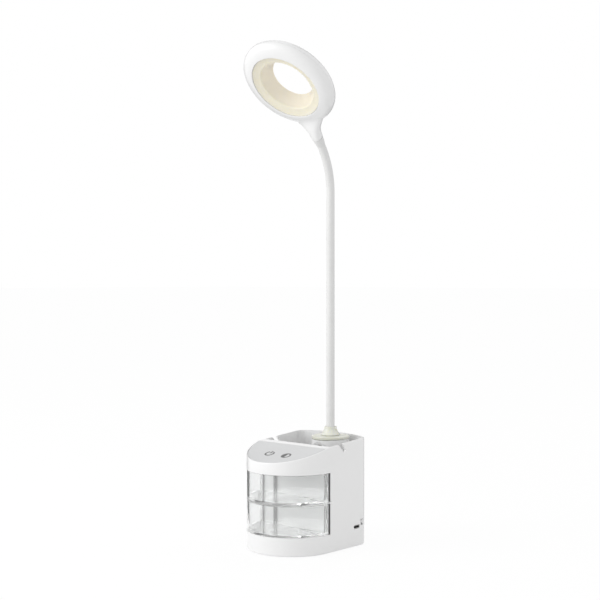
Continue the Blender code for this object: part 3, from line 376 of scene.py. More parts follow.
def combine(item, operation, *tools):
    """Joins, cuts or intersects a piece with tools, which are used up."""
    for tool in tools:
        step = item.modifiers.new(tool.name, "BOOLEAN")
        step.operation = operation
        step.object = tool
        step.solver = "MANIFOLD"
    settle(item)
    for tool in tools:
        bpy.data.objects.remove(tool, do_unlink=True)
    return item


def cut(item, *tools):
    return combine(item, "DIFFERENCE", *tools)


def join(item, *tools):
    return combine(item, "UNION", *tools)


def clean(item):
    """Welds the points that a cut leaves almost on each other."""
    bm = bmesh.new()
    bm.from_mesh(item.data)
    bmesh.ops.remove_doubles(bm, verts=bm.verts, dist=WELD)
    bmesh.ops.dissolve_degenerate(bm, edges=bm.edges, dist=WELD)
    bm.to_mesh(item.data)
    bm.free()


def round_edges(item, width, segments=2):
    """Rounds the sharp edges of a piece."""
    step = item.modifiers.new("soft edges", "BEVEL")
    step.width = width
    step.segments = segments
    step.limit_method = "ANGLE"
    step.angle_limit = SOFT_ANGLE
    step.use_clamp_overlap = True
    step.harden_normals = True
    item.data.shade_smooth()
    settle(item)


def dress(item, slot, body, *nodes, finish=None):
    """Gives a finished piece its material, chosen by its record slot unless a finish is named, and its body, in
    place of CAD nodes.
    """
    item.data.transform(Matrix.Translation(-PLACE) @ item.matrix_world)
    item.matrix_world = Matrix.Translation(PLACE)
    item.data.materials.clear()
    item.data.materials.append(FINISHES[finish or slot])
    item.data.shade_smooth()
    if not item.data.has_custom_normals:
        item.data.set_sharp_from_angle(angle=SHARP_ANGLE)
    if nodes:
        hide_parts(*nodes)
    if body:
        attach(item, body)


# Outlines

def arc(centre, radius, start, end, steps):
    """Points on an arc, both ends included."""
    return [(centre[0] + radius * math.cos(start + (end - start) * i / steps),
             centre[1] + radius * math.sin(start + (end - start) * i / steps)) for i in range(steps + 1)]


def corner_centres():
    """Centre of the right rear corner, the rear bow's centre, and the angle where they meet."""
    corner_x = RADIUS - CORNER_RADIUS
    reach = REAR_RADIUS - CORNER_RADIUS
    lean = math.asin(corner_x / reach)
    return (corner_x, SIDE_LENGTH), (0, SIDE_LENGTH - reach * math.cos(lean)), lean


def base_outline(inset, steps, front_only=None, rear_only=None):
    """The base's plan, drawn in by inset; it can stop at a line of constant y."""
    points = arc((0, 0), RADIUS - inset, HALF_TURN, TURN, steps)
    if front_only is not None:
        return points + [(RADIUS - inset, front_only), (inset - RADIUS, front_only)]
    if rear_only is not None:
        points = [(inset - RADIUS, rear_only), (RADIUS - inset, rear_only)]
    (corner_x, corner_y), rear_centre, lean = corner_centres()
    corner, part = CORNER_RADIUS - inset, steps // CORNER_PART
    points += arc((corner_x, corner_y), corner, 0, QUARTER - lean, part)
    points += arc(rear_centre, REAR_RADIUS - inset, QUARTER - lean, QUARTER + lean, part)[1:-1]
    points += arc((-corner_x, corner_y), corner, QUARTER + lean, HALF_TURN, part)
    return points


def shrink(x, y, inset):
    """Moves a point of the outer plan inwards, square to the outline."""
    if y <= 0:
        length = math.hypot(x, y)
        return x * (1 - inset / length), y * (1 - inset / length)
    if y <= SIDE_LENGTH:
        return x - math.copysign(inset, x), y
    (corner_x, corner_y), rear_centre, lean = corner_centres()
    centre = rear_centre
    if abs(math.atan2(x, y - rear_centre[1])) >= lean:
        centre = (math.copysign(corner_x, x), corner_y)
    across, along = x - centre[0], y - centre[1]
    length = math.hypot(across, along)
    return x - across * inset / length, y - along * inset / length


def top_height(y):
    """The sloping top: the panel falls to the front, the rim rises to the rear."""
    return CREST_HEIGHT + y * (PANEL_SLOPE_SHARE if y < 0 else RIM_SLOPE_SHARE)


def below_top(depth):
    """The sloping top's height less a depth, as a function of y."""
    return lambda y: top_height(y) - depth


def edge_round(y):
    """The top edge's radius grows from the panel to the rim."""
    return PANEL_EDGE + (RIM_EDGE - PANEL_EDGE) * min(max(y / NOTCH_FRONT, 0), 1)


def panel_outline(lip, steps):
    """The crescent of the control panel: a lip inside the round front and the straight crest."""
    radius = RADIUS - lip
    start = HALF_TURN + math.asin(lip / radius)
    return arc((0, 0), radius, start, 3 * HALF_TURN - start, steps)


def tray_inside(steps):
    """A drawer's inside in plan: the round front runs into two rounded rear corners."""
    radius = RADIUS - GAP - TRAY_WALL
    y = TRAY_BACK - TRAY_WALL - TRAY_CORNER
    x = math.sqrt((radius - TRAY_CORNER) ** 2 - y ** 2)
    meet = math.atan2(-y, x)
    points = arc((0, 0), radius, HALF_TURN + meet, TURN - meet, steps)
    points += arc((x, y), TRAY_CORNER, -meet, QUARTER, steps // CORNER_PART)[1:]
    points += arc((-x, y), TRAY_CORNER, QUARTER, HALF_TURN + meet, steps // CORNER_PART)[:-1]
    return points


def rounded_slab(name, x_low, x_high, y, width, z_low, height, radius):
    """A bar along X; its upright section is a rectangle with rounded corners."""
    z = z_low + height / 2
    section = []
    for quarter, (side, up) in enumerate(((1, 1), (-1, 1), (-1, -1), (1, -1))):
        centre = (y + side * (width / 2 - radius), z + up * (height / 2 - radius))
        section += arc(centre, radius, quarter * QUARTER, (quarter + 1) * QUARTER, SLAB_STEPS)
    return loft(name, [[(x, a, b) for a, b in section] for x in (x_low, x_high)])


# Gooseneck and head: their line and their frame

def neck_path(s):
    """Point and forward lean of the gooseneck's centre line, s along it from the socket's top."""
    bend = min(max(s - NECK_STRAIGHT, 0) / BEND_RADIUS, BEND_ANGLE)
    y = NECK_Y - BEND_RADIUS * (1 - math.cos(bend))
    z = SOCKET_TOP + min(s, NECK_STRAIGHT) + BEND_RADIUS * math.sin(bend)
    past = max(s - NECK_REST, 0)
    return Vector((NECK_X, y - past * math.sin(bend), z + past * math.cos(bend))), bend


def tube(name, stops):
    """A round solid along the gooseneck's centre line: stops are (s, radius)."""
    rings = []
    for s, radius in stops:
        centre, lean = neck_path(s)
        across = Vector((0, math.cos(lean), math.sin(lean)))
        side = Vector((1, 0, 0))
        rings.append([centre + (side * math.cos(a) + across * math.sin(a)) * radius
                      for a in (TURN * i / TUBE_SIDES for i in range(TUBE_SIDES))])
    return loft(name, rings)


def head_matrix():
    """The head's frame: at the lit ring's centre, its Z pointing back along the head's axis."""
    turn = Matrix.Rotation(-HEAD_TILT, 4, "X")
    centre = neck_path(NECK_REST)[0] - turn @ Vector((0, NECK_REACH, NECK_OFFSET))
    return Matrix.Translation(PLACE + centre) @ turn


def sleeve_radius(depth):
    """The tapered sleeve's inner radius."""
    slope = (SLEEVE_FRONT_RADIUS - SLEEVE_BACK_RADIUS) / (HEAD_DEPTH - SLEEVE_FRONT)
    return SLEEVE_FRONT_RADIUS - slope * (depth - SLEEVE_FRONT)


# Shader nodes

def feed(tree, socket, value):
    """Links a socket to another one, or sets its constant."""
    if isinstance(value, bpy.types.NodeSocket):
        tree.links.new(value, socket)
    else:
        socket.default_value = value


def add_node(tree, kind, inputs, **settings):
    """A shader node with its settings; its inputs are fed by name or by index."""
    node = tree.nodes.new("ShaderNode" + kind)
    for label, value in settings.items():
        setattr(node, label, value)
    for key, value in inputs.items():
        feed(tree, node.inputs[key], value)
    return node.outputs


def math_node(tree, operation, *values):
    """A Math node; its values are sockets or constants."""
    return add_node(tree, "Math", dict(enumerate(values)), operation=operation)[0]


def ramp_node(tree, value, low, high, low_out=0.0, high_out=1.0):
    """A smooth step from low_out to high_out while the value runs from low to high."""
    return add_node(tree, "MapRange", {"Value": value, "From Min": low, "From Max": high, "To Min": low_out,
                                       "To Max": high_out}, interpolation_type="SMOOTHSTEP")["Result"]


def noise_node(tree, size, detail, roughness=0.5, stretch=None):
    """Noise in the lamp's own space with cells of about the given size; size may be a socket."""
    place = add_node(tree, "TexCoord", {})["Object"]
    if stretch is not None:
        mapping = {"Vector": place, "Scale": stretch, "Rotation": NOISE_TURN}
        place = add_node(tree, "Mapping", mapping)["Vector"]
    return add_node(tree, "TexNoise", {"Vector": place, "Scale": math_node(tree, "DIVIDE", 1.0, size),
                                       "Detail": detail, "Roughness": roughness})["Fac"]


def new_group(name, inputs, outputs):
    """An empty shader node group: inputs by name and default, outputs by name and kind."""
    tree = bpy.data.node_groups.new(name, "ShaderNodeTree")
    for label, default in inputs.items():
        kind = "NodeSocketColor" if isinstance(default, tuple) else "NodeSocketFloat"
        tree.interface.new_socket(name=label, in_out="INPUT", socket_type=kind).default_value = default
    for label, kind in outputs.items():
        tree.interface.new_socket(name=label, in_out="OUTPUT", socket_type=kind)
    return tree, tree.nodes.new("NodeGroupInput").outputs, tree.nodes.new("NodeGroupOutput").inputs


def new_tint_group(name, inputs, second, make_mask):
    """A group that mixes its colour with a second one by a mask, and puts both out."""
    tree, start, end = new_group(name, inputs, {"Colour": "NodeSocketColor", "Mask": "NodeSocketFloat"})
    mask = make_mask(tree, start)
    colours = {0: mask, MIX_FIRST: start["Colour"], MIX_SECOND: start[second]}
    feed(tree, end["Colour"], add_node(tree, "Mix", colours, data_type="RGBA")[MIX_RESULT])
    feed(tree, end["Mask"], mask)
    return tree


def moulded_grain_group():
    """The fine spark-eroded grain of a moulding: two sizes of noise, as a height."""
    tree, start, end = new_group("Moulded Grain", {"Grain Size": 0.0004}, {"Height": "NodeSocketFloat"})
    size = start["Grain Size"]
    fine = noise_node(tree, size, detail=3.0, roughness=0.6)
    coarse = noise_node(tree, math_node(tree, "MULTIPLY", size, COARSE_SIZE), detail=1.0)
    feed(tree, end["Height"], math_node(tree, "ADD", fine, math_node(tree, "MULTIPLY", coarse, COARSE_SHARE)))
    return tree


def soft_tone_group():
    """A slow drift of a moulding's colour between two near shades."""
    return new_tint_group(
        "Soft Tone", {"Colour": PALE, "Shade": PALE_SHADE, "Patch Size": 0.03}, "Shade",
        lambda tree, start: ramp_node(tree, noise_node(tree, start["Patch Size"], detail=3.0), *TONE_RANGE))


def handling_marks_group():
    """Fine scuffs in two directions, as a mask that is zero over most of the surface."""
    tree, start, end = new_group("Handling Marks", {"Mark Size": 0.004}, {"Mask": "NodeSocketFloat"})
    masks = [ramp_node(tree, noise_node(tree, start["Mark Size"], detail=4.0, roughness=0.6, stretch=stretch),
                       *SCUFF_RANGE) for stretch in SCUFF_STRETCHES]
    feed(tree, end["Mask"], math_node(tree, "MAXIMUM", *masks))
    return tree


def dust_mask(tree, start):
    """Faces that look up, broken up by noise."""
    normal = add_node(tree, "NewGeometry", {})["Normal"]
    upward = ramp_node(tree, add_node(tree, "SeparateXYZ", {0: normal})["Z"], *UPWARD_RANGE)
    specks = ramp_node(tree, noise_node(tree, SPECK_SIZE, detail=4.0, roughness=0.7), *SPECK_RANGE)
    return math_node(tree, "MULTIPLY", math_node(tree, "MULTIPLY", upward, specks), start["Amount"])


def settled_dust_group():
    """A trace of dust on faces that look up."""
    return new_tint_group("Settled Dust", {"Colour": PALE, "Dust": DUST, "Amount": 0.06}, "Dust", dust_mask)


GROUPS = {}


def make_groups():
    GROUPS.update(grain=moulded_grain_group(), tone=soft_tone_group(), marks=handling_marks_group(),
                  dust=settled_dust_group())


def place_group(tree, key, **values):
    """Puts a shared group into a material; values are sockets or constants by input name."""
    group = GROUPS[key]
    inputs = {label.replace("_", " ").title(): value for label, value in values.items()}
    return add_node(tree, "Group", inputs, node_tree=group, name=group.name, label=group.name)


# Finishes

def shade(colour, share):
    """A colour a little darker, with an alpha."""
    return (*(channel * share for channel in colour), 1.0)


def new_finish(name, roughness, **constants):
    """A material with one shader, and constants for the shader's own sockets by name."""
    material = bpy.data.materials.new(name)
    material.use_nodes = True
    shader = material.node_tree.nodes["Principled BSDF"]
    shader.inputs["Roughness"].default_value = roughness
    for label, value in constants.items():
        shader.inputs[label.replace("_", " ")].default_value = value
    return material, material.node_tree, shader.inputs


def feed_grain(tree, shader, size, depth, strength):
    """Normal: moulded grain of a real size and depth."""
    height = place_group(tree, "grain", grain_size=size)["Height"]
    bump = add_node(tree, "Bump", {"Strength": strength, "Distance": depth, "Height": height})
    feed(tree, shader["Normal"], bump["Normal"])


def surface(name, colour, roughness, drift, patch, dust=0.0, scuffs=None, grain=None, glow=0.0, **constants):
    """A finish made from the shared effects. Its base colour drifts to a shade in patches and takes a
    trace of dust; scuffs have a size and a roughness; grain has a size, a depth and a strength."""
    material, tree, shader = new_finish(name, roughness, **constants)
    tone = place_group(tree, "tone", colour=(*colour, 1.0), shade=shade(colour, drift),
                       patch_size=patch)["Colour"]
    base = place_group(tree, "dust", colour=tone, amount=dust)["Colour"] if dust else tone
    feed(tree, shader["Base Color"], base)
    if scuffs:
        size, scuffed = scuffs
        mask = place_group(tree, "marks", mark_size=size)["Mask"]
        feed(tree, shader["Roughness"], ramp_node(tree, mask, 0.0, 1.0, roughness, scuffed))
    if grain:
        feed_grain(tree, shader, *grain)
    if glow:
        feed(tree, shader["Emission Color"], tone)
        feed(tree, shader["Emission Strength"], glow)
    return material


def clear_plastic(colour):
    """Clear polystyrene with a trace of haze. Lamplight and, after a few bounces, light that is trapped
    in the sheet go straight through."""
    material = surface("clear_polystyrene", colour, roughness=0.02, drift=0.99, patch=0.02,
                       scuffs=(0.006, 0.08), IOR=1.5, Transmission_Weight=0.93)
    tree = material.node_tree
    path = add_node(tree, "LightPath", {})
    lamplit = math_node(tree, "MAXIMUM", path["Is Shadow Ray"], path["Is Diffuse Ray"])
    trapped = math_node(tree, "GREATER_THAN", path["Glossy Depth"], TRAPPED_DEPTH)
    mix = add_node(tree, "MixShader", {0: math_node(tree, "MAXIMUM", lamplit, trapped),
                                       1: tree.nodes["Principled BSDF"].outputs[0],
                                       2: add_node(tree, "BsdfTransparent", {"Color": FILM})[0]})
    feed(tree, tree.nodes["Material Output"].inputs["Surface"], mix[0])
    return material


def circuit_board(colour, name):
    """Solder mask with the faint relief of the tracks below it."""
    material, tree, shader = new_finish(name, roughness=0.42, Coat_Weight=0.4)
    tracks = add_node(tree, "TexBrick", {
        "Vector": add_node(tree, "TexCoord", {})["Object"], "Scale": 260.0, "Color1": (*colour, 1.0),
        "Color2": shade(colour, 0.9), "Mortar": shade(colour, 1.25), "Mortar Size": 0.03})
    feed(tree, shader["Base Color"], tracks["Color"])
    feed_grain(tree, shader, size=0.0004, depth=0.00001, strength=0.3)
    return material


FINISHES = {}


def make_finishes(colours):
    opal = dict(roughness=0.34, drift=0.97, patch=0.012, dust=0.02, scuffs=(0.005, 0.44),
                grain=(0.0004, 0.00001, 0.25), Subsurface_Weight=0.35, Subsurface_Radius=(1.0, 0.9, 0.6),
                Subsurface_Scale=0.002)
    rubber = dict(roughness=0.8, drift=0.7, patch=0.003, dust=0.2, grain=(0.0005, 0.00005, 0.6))
    FINISHES.update({
        "white_plastic": surface(
            "satin_white_casing", colours.casing, roughness=0.40, drift=0.985, patch=0.035, dust=0.02,
            scuffs=(0.005, 0.50), grain=(0.00035, 0.00002, 0.35), IOR=1.53, Coat_Weight=0.5,
            Coat_Roughness=0.16),
        # The touch panel: a grey that paints the shade on the sloping top
        "panel_white": surface(
            "touch_panel_painted_shade", colours.panel, roughness=0.30, drift=0.975, patch=0.02, dust=0.03,
            scuffs=(0.006, 0.42), grain=(0.0003, 0.00001, 0.2), Coat_Weight=0.25, Coat_Roughness=0.12),
        "symbols": surface("printed_symbol_grey", colours.symbols, roughness=0.45, drift=0.88, patch=0.001,
                           grain=(0.0002, 0.00001, 0.3)),
        "clear_plastic": clear_plastic(colours.drawers),
        # The lens takes the socket's opal finish in a darker cream: painted shade
        "cream_lens": surface("opal_lens_painted_shade", colours.night_light, **opal),
        "cream_socket": surface("cream_neck_socket", colours.socket, **opal),
        "opal_lit": surface("opal_lit_ring", colours.ring, glow=0.10, **opal),
        # The sleeve: its tan is painted shade warmed by the ring's light; its glow is partly the ring's light
        # showing through and partly painted light that lifts its shaded side
        "sleeve_shade_and_glow": surface("opal_sleeve_painted_shade", colours.sleeve_painted_shade, glow=0.18, **opal),
        "silicone": surface(
            "white_silicone", colours.sleeve, roughness=0.50, drift=0.97, patch=0.02, scuffs=(0.004, 0.62),
            grain=(0.0006, 0.00002, 0.4), Sheen_Weight=0.12, Sheen_Roughness=0.5),
        "rubber": surface("black_rubber", (0.02, 0.02, 0.02), **rubber),
        # The dark strips behind the drawers: a near-black finish that paints the shade of the bay's gaps
        "shade_strip_finish": surface("black_shade_strip", colours.stops, **rubber),
        "steel": surface(
            "plated_steel", (0.62, 0.62, 0.60), roughness=0.28, drift=0.85, patch=0.003, scuffs=(0.002, 0.45),
            grain=(0.0002, 0.00001, 0.3), Metallic=1.0),
        "board_green": circuit_board((0.03, 0.20, 0.09), "green_circuit_board"),
        "board_white": circuit_board((0.80, 0.80, 0.77), "white_circuit_board"),
        "dark_plastic": surface(
            "black_moulding", (0.03, 0.03, 0.03), roughness=0.42, drift=0.8, patch=0.004, dust=0.08,
            scuffs=(0.003, 0.55), grain=(0.0003, 0.00002, 0.4)),
        "cell_wrap": surface(
            "shrink_sleeve_blue", (0.05, 0.20, 0.50), roughness=0.30, drift=0.85, patch=0.01,
            grain=(0.0015, 0.00005, 0.3), Coat_Weight=0.3),
    })


# Settings

RGB = dict(size=3, min=0, max=1)


class LampColours(bpy.types.PropertyGroup):
    casing: FloatVectorProperty(
        name="Casing", description="The moulded casing", default=(0.88, 0.88, 0.88), subtype="COLOR",
        **RGB)
    # The panel's grey is painted shade: it stands for the shade on the sloping, upturned top
    panel: FloatVectorProperty(
        name="Panel", description="The touch panel", default=(0.625, 0.63, 0.635), subtype="COLOR", **RGB)
    symbols: FloatVectorProperty(
        name="Symbols", description="Ink of the touch symbols", default=(0.14, 0.14, 0.14), subtype="COLOR",
        **RGB)
    drawers: FloatVectorProperty(
        name="Drawers", description="Tint of the clear drawers and shelf", default=(0.975, 0.98, 0.98),
        subtype="COLOR", **RGB)
    # Colour of the dark strips behind the drawers: painted shade for the gaps at the back of the bay
    stops: FloatVectorProperty(
        name="Shade strips", description="Soft strips behind the drawers", default=(0.10, 0.10, 0.10),
        subtype="COLOR", **RGB)
    # The lens is set about a tenth darker than the socket's cream: painted shade of the pen well round it
    night_light: FloatVectorProperty(
        name="Night light", description="The night light's lens", default=(0.71, 0.715, 0.63),
        subtype="COLOR", **RGB)
    socket: FloatVectorProperty(
        name="Neck socket", description="The socket that holds the gooseneck", default=(0.80, 0.805, 0.73),
        subtype="COLOR", **RGB)
    ring: FloatVectorProperty(
        name="Ring light", description="The lit ring", default=(0.80, 0.76, 0.63), subtype="COLOR", **RGB)
    # The sleeve's tan is painted shade, warmed by the ring's light
    sleeve_painted_shade: FloatVectorProperty(
        name="Ring sleeve", description="The sleeve inside the head's hole", default=(0.735, 0.685, 0.58),
        subtype="COLOR", **RGB)
    sleeve: FloatVectorProperty(
        name="Gooseneck", description="The silicone sleeve", default=(0.78, 0.78, 0.775), subtype="COLOR",
        **RGB)


class LampShapes(bpy.types.PropertyGroup):
    smoothness: IntProperty(
        name="Smoothness", description="Steps round each large curve", default=96, min=24, max=192)
    edge: FloatProperty(
        name="Edge", description="Radius of the small moulded edges", default=0.0003, min=0.0001, max=0.0006,
        precision=5, unit="LENGTH")
    tray_edge: FloatProperty(
        name="Drawer edge", description="Radius of the clear drawers' edges", default=0.0004, min=0.0001,
        max=0.0007, precision=5, unit="LENGTH")
    symbol_size: FloatProperty(
        name="Symbol", description="Width of each touch symbol", default=0.0106, min=0.004, max=0.014,
        precision=4, unit="LENGTH")
    symbol_line: FloatProperty(
        name="Symbol line", description="Line width of the touch symbols", default=0.0018, min=0.0002,
        max=0.002, precision=5, unit="LENGTH")
    head_grid: FloatProperty(
        name="Head grid", description="Cell size of the head's seamless skin", default=0.0006, min=0.0004,
        max=0.002, precision=5, unit="LENGTH")


class LampStage(bpy.types.PropertyGroup):
    azimuth: FloatProperty(
        name="Azimuth", description="Turn of the camera round the lamp", default=math.radians(42.1),
        subtype="ANGLE", unit="ROTATION")
    distance: FloatProperty(
        name="Distance", description="From the base's centre to the camera", default=1.206, min=0.5, max=5,
        unit="LENGTH")
    height: FloatProperty(
        name="Height", description="Height of the level camera", default=0.270, min=0, max=2, unit="LENGTH")
    lens: FloatProperty(
        name="Lens", description="Focal length in millimetres on a 36 mm frame", default=72, min=20, max=200)
    ambient: FloatProperty(
        name="Ambient", description="Strength of the even studio light", default=0.86, min=0, max=2)
    key: FloatProperty(
        name="Key", description="Power of the large light at the left front", default=9.6, min=0, max=100)


# Base

def housing_body(steps):
    """The outer form, lofted from the bottom chamfer to the rounded, two-sloped top."""
    outer = base_outline(0, steps)
    bottom = HOUSING_LOW.z
    rings = [[(x, y, bottom) for x, y in base_outline(BOTTOM_CHAMFER, steps)],
             [(x, y, bottom + BOTTOM_CHAMFER) for x, y in outer]]
    for i in range(EDGE_STEPS + 1):
        angle = QUARTER * i / EDGE_STEPS
        ring = []
        for x, y in outer:
            radius = edge_round(y)
            inner_x, inner_y = shrink(x, y, radius * (1 - math.cos(angle)))
            ring.append((inner_x, inner_y, top_height(inner_y) - radius * (1 - math.sin(angle))))
        rings.append(ring)
    return loft("base_housing_finished", rings, split=steps)


def notch_tool():
    """The phone slot's notches through both side walls: a sloped front and a rounded foot."""
    crest = top_height(NOTCH_FRONT)
    foot = crest - NOTCH_DEPTH
    front = NOTCH_FRONT + NOTCH_LEAN
    third = NOTCH_FOOT_WIDTH / 3
    centre = front + NOTCH_FOOT_WIDTH / 2
    outline = [(NOTCH_FRONT - NOTCH_LEAN * OVERRUN / NOTCH_DEPTH, crest + OVERRUN), (front, foot + third)]
    outline += [(centre + NOTCH_FOOT_WIDTH / 2 * math.cos(a), foot + third * (1 + math.sin(a)))
                for a in (math.radians(d) for d in NOTCH_FOOT_DEGREES)]
    outline += [(front + NOTCH_FOOT_WIDTH, foot + third), (NOTCH_FRONT + NOTCH_WIDTH, crest),
                (NOTCH_FRONT + NOTCH_WIDTH, crest + OVERRUN)]
    reach = RADIUS + OVERRUN
    return loft("notch_tool", [[(x, y, z) for y, z in outline] for x in (-reach, reach)])


def well_tools(steps):
    """The pen well round the turret, the turret's two bores and the hole in its web."""
    well = prism("well_tool", base_outline(WALL, steps, rear_only=PARTITION_REAR), WELL_FLOOR,
                 HOUSING_HIGH.z + OVERRUN)
    cut(well, post("turret_form", TURRET_RADIUS, WELL_FLOOR - OVERRUN, TURRET_TOP, steps))
    inside = TURRET_RADIUS - TURRET_WALL
    ceiling = WELL_FLOOR - WELL_FLOOR_THICKNESS
    return (well, post("turret_upper_tool", inside, WEB_TOP, TURRET_TOP + OVERRUN, steps),
            post("turret_lower_tool", inside, ceiling - OVERRUN, WEB_TOP - WEB, steps),
            post("web_hole_tool", SOCKET_STEM + GAP, WEB_TOP - WEB - OVERRUN, WEB_TOP + OVERRUN, steps // 2))


def underside_tools(steps):
    """The hollow plinth and the chamber for battery and board, with screw bosses left standing."""
    bottom = HOUSING_LOW.z - OVERRUN
    plinth = prism("plinth_tool", base_outline(PLINTH_INSET, steps, front_only=PARTITION_REAR + OVERRUN),
                   bottom, BAY_BOTTOM - DECK)
    chamber = prism("chamber_tool", base_outline(WALL, steps, rear_only=PARTITION_REAR), bottom,
                    WELL_FLOOR - WELL_FLOOR_THICKNESS)
    for tool in (plinth, chamber):
        cut(tool, *(post(f"boss_form_{i}", BOSS_RADIUS, HOUSING_LOW.z + COVER + GAP, TURRET_TOP, place=place)
                    for i, place in enumerate(BOSS_PLACES)))
    return plinth, chamber


def panel_tools(steps):
    """The panel's recess, the seat of its board and the pocket below."""
    under = PANEL + TOUCH_BOARD
    return [prism(f"panel_tool_{i}", panel_outline(lip, steps), below_top(depth), below_top(-OVERRUN))
            for i, (lip, depth) in enumerate(((PANEL_LIP - GAP, PANEL + GAP),
                                              (PANEL_LIP + LEDGE - GAP, under + 2 * GAP),
                                              (POCKET_MARGIN, under + POCKET_DEPTH + GAP)))]


def wall_tools():
    """The charging socket's opening and the switch's window in the right wall."""
    inside, outside = RADIUS - 2 * WALL, RADIUS + OVERRUN
    half = KNOB_WIDTH / 2 + GAP
    return (rounded_slab("port_tool", inside, outside, PORT_Y, PORT_WIDTH + 2 * GAP, PORT_LOW - GAP,
                         PORT_HEIGHT + 2 * GAP, PORT_RIM + GAP),
            box("switch_tool", (inside, SWITCH_Y - half, KNOB_Z - KNOB_HEIGHT / 2 - KNOB_TRAVEL - GAP),
                (outside, SWITCH_Y + half, KNOB_Z + KNOB_HEIGHT / 2 + GAP)))


def guide(name, low, high):
    """The straight rib that a drawer slides on."""
    return box(name, (-GUIDE_WIDTH / 2, GUIDE_WIDTH - RADIUS, low), (GUIDE_WIDTH / 2, -GUIDE_WIDTH, high))


class LAMP_OT_base_housing(bpy.types.Operator):
    """Builds the white tower with its drawer bay, pen well, turret and phone notches"""
    bl_idname = "lamp.base_housing"
    bl_label = "Base housing"

    def execute(self, context):
        shapes = context.scene.lamp_shapes
        steps = shapes.smoothness
        housing = housing_body(steps)
        reach = RADIUS + OVERRUN
        bay = box("bay_tool", (-reach, -reach, BAY_BOTTOM), (reach, WINDOW_END, BAY_TOP))
        cut(housing, bay, *well_tools(steps), *underside_tools(steps), *panel_tools(steps), notch_tool())
        groove = box("shelf_groove_tool", (-reach, WINDOW_END - OVERRUN, SHELF_HEIGHT - GAP),
                     (reach, WINDOW_END + SHELF_TONGUE + GAP, SHELF_HEIGHT + SHELF + GAP))
        cut(housing, groove, *wall_tools())
        join(housing, guide("deck_guide_form", BAY_BOTTOM - DECK / 2, BAY_BOTTOM + GUIDE_HEIGHT))
        clean(housing)
        round_edges(housing, shapes.edge)
        dress(housing, "white_plastic", "base", "base_housing")
        return {"FINISHED"}


def print_symbol(name, outlines, x):
    """A flat printed symbol, a hair above the sloping panel; each outline is a closed run of points."""
    bm = bmesh.new()
    for points in outlines:
        bm.faces.new([bm.verts.new((x, y, 0)) for x, y in points])
    place = Matrix.Translation(PLACE + Vector((x, SYMBOL_ROW, top_height(SYMBOL_ROW))))
    tilt = Matrix.Rotation(math.atan(PANEL_SLOPE_SHARE), 4, "X")
    symbol = new_piece(name, bm, place @ tilt @ Matrix.Translation((0, 0, INK_LIFT)))
    symbol.modifiers.new("ink", "SOLIDIFY").thickness = INK
    dress(settle(symbol), "panel_white", "base", finish="symbols")


class LAMP_OT_control_panel(bpy.types.Operator):
    """Builds the touch panel on the sloping front, grey with painted shade, with a power and a dimmer symbol"""
    bl_idname = "lamp.control_panel"
    bl_label = "Control panel"

    def execute(self, context):
        shapes = context.scene.lamp_shapes
        panel = prism("control_panel_finished", panel_outline(PANEL_LIP, shapes.smoothness), below_top(PANEL),
                      below_top(0))
        round_edges(panel, shapes.edge * PANEL_EDGE_SHARE)
        dress(panel, "panel_white", "base", "control_panel")

        half, line = shapes.symbol_size / 2, shapes.symbol_line

        def band(start, end, steps):
            outer, inner = (arc((0, 0), radius, start, end, steps) for radius in (half, half - line))
            return outer + inner[::-1]

        ring = band(QUARTER + POWER_OPENING, QUARTER + TURN - POWER_OPENING, POWER_STEPS)
        low, high = (half * share for share in POWER_STEM)
        stem = [(-line / 2, low), (line / 2, low), (line / 2, high), (-line / 2, high)]
        print_symbol("power_symbol", [ring, stem], SYMBOL_SHIFT - SYMBOL_SPREAD)
        rim = band(-QUARTER, QUARTER, SYMBOL_STEPS)
        filled = arc((0, 0), half, QUARTER, 3 * QUARTER, SYMBOL_STEPS)
        print_symbol("dimmer_symbol", [rim, filled], SYMBOL_SHIFT + SYMBOL_SPREAD)
        return {"FINISHED"}


# Drawers

def build_tray(name, low, high, shapes):
    """A clear drawer: thick rear corners, rounded inside, and finger grips at its lower edge."""
    steps = shapes.smoothness
    tray = prism(f"{name}_finished", base_outline(GAP, steps, front_only=TRAY_BACK), low, high)
    inner = prism(f"{name}_inner_tool", tray_inside(steps), low + TRAY_FLOOR, high + OVERRUN)
    groove = box(f"{name}_groove_tool", (-GUIDE_WIDTH / 2 - GAP, -RADIUS - OVERRUN, low - OVERRUN),
                 (GUIDE_WIDTH / 2 + GAP, TRAY_BACK + OVERRUN, low + GUIDE_HEIGHT))
    grips = []
    for side in (-1, 1):
        outward = Vector((side * math.cos(GRIP_ANGLE), -math.sin(GRIP_ANGLE), 0))
        drop = Vector((0, 0, low + GRIP_RISE - GRIP_RADIUS))
        grips.append(bar(f"{name}_grip_tool_{side}", GRIP_RADIUS, outward * (RADIUS - TRAY_WALL * 2) + drop,
                         outward * (RADIUS + OVERRUN) + drop, GRIP_STEPS))
    cut(tray, inner, groove, *grips)
    clean(tray)
    round_edges(tray, shapes.tray_edge)
    dress(tray, "clear_plastic", name, name)


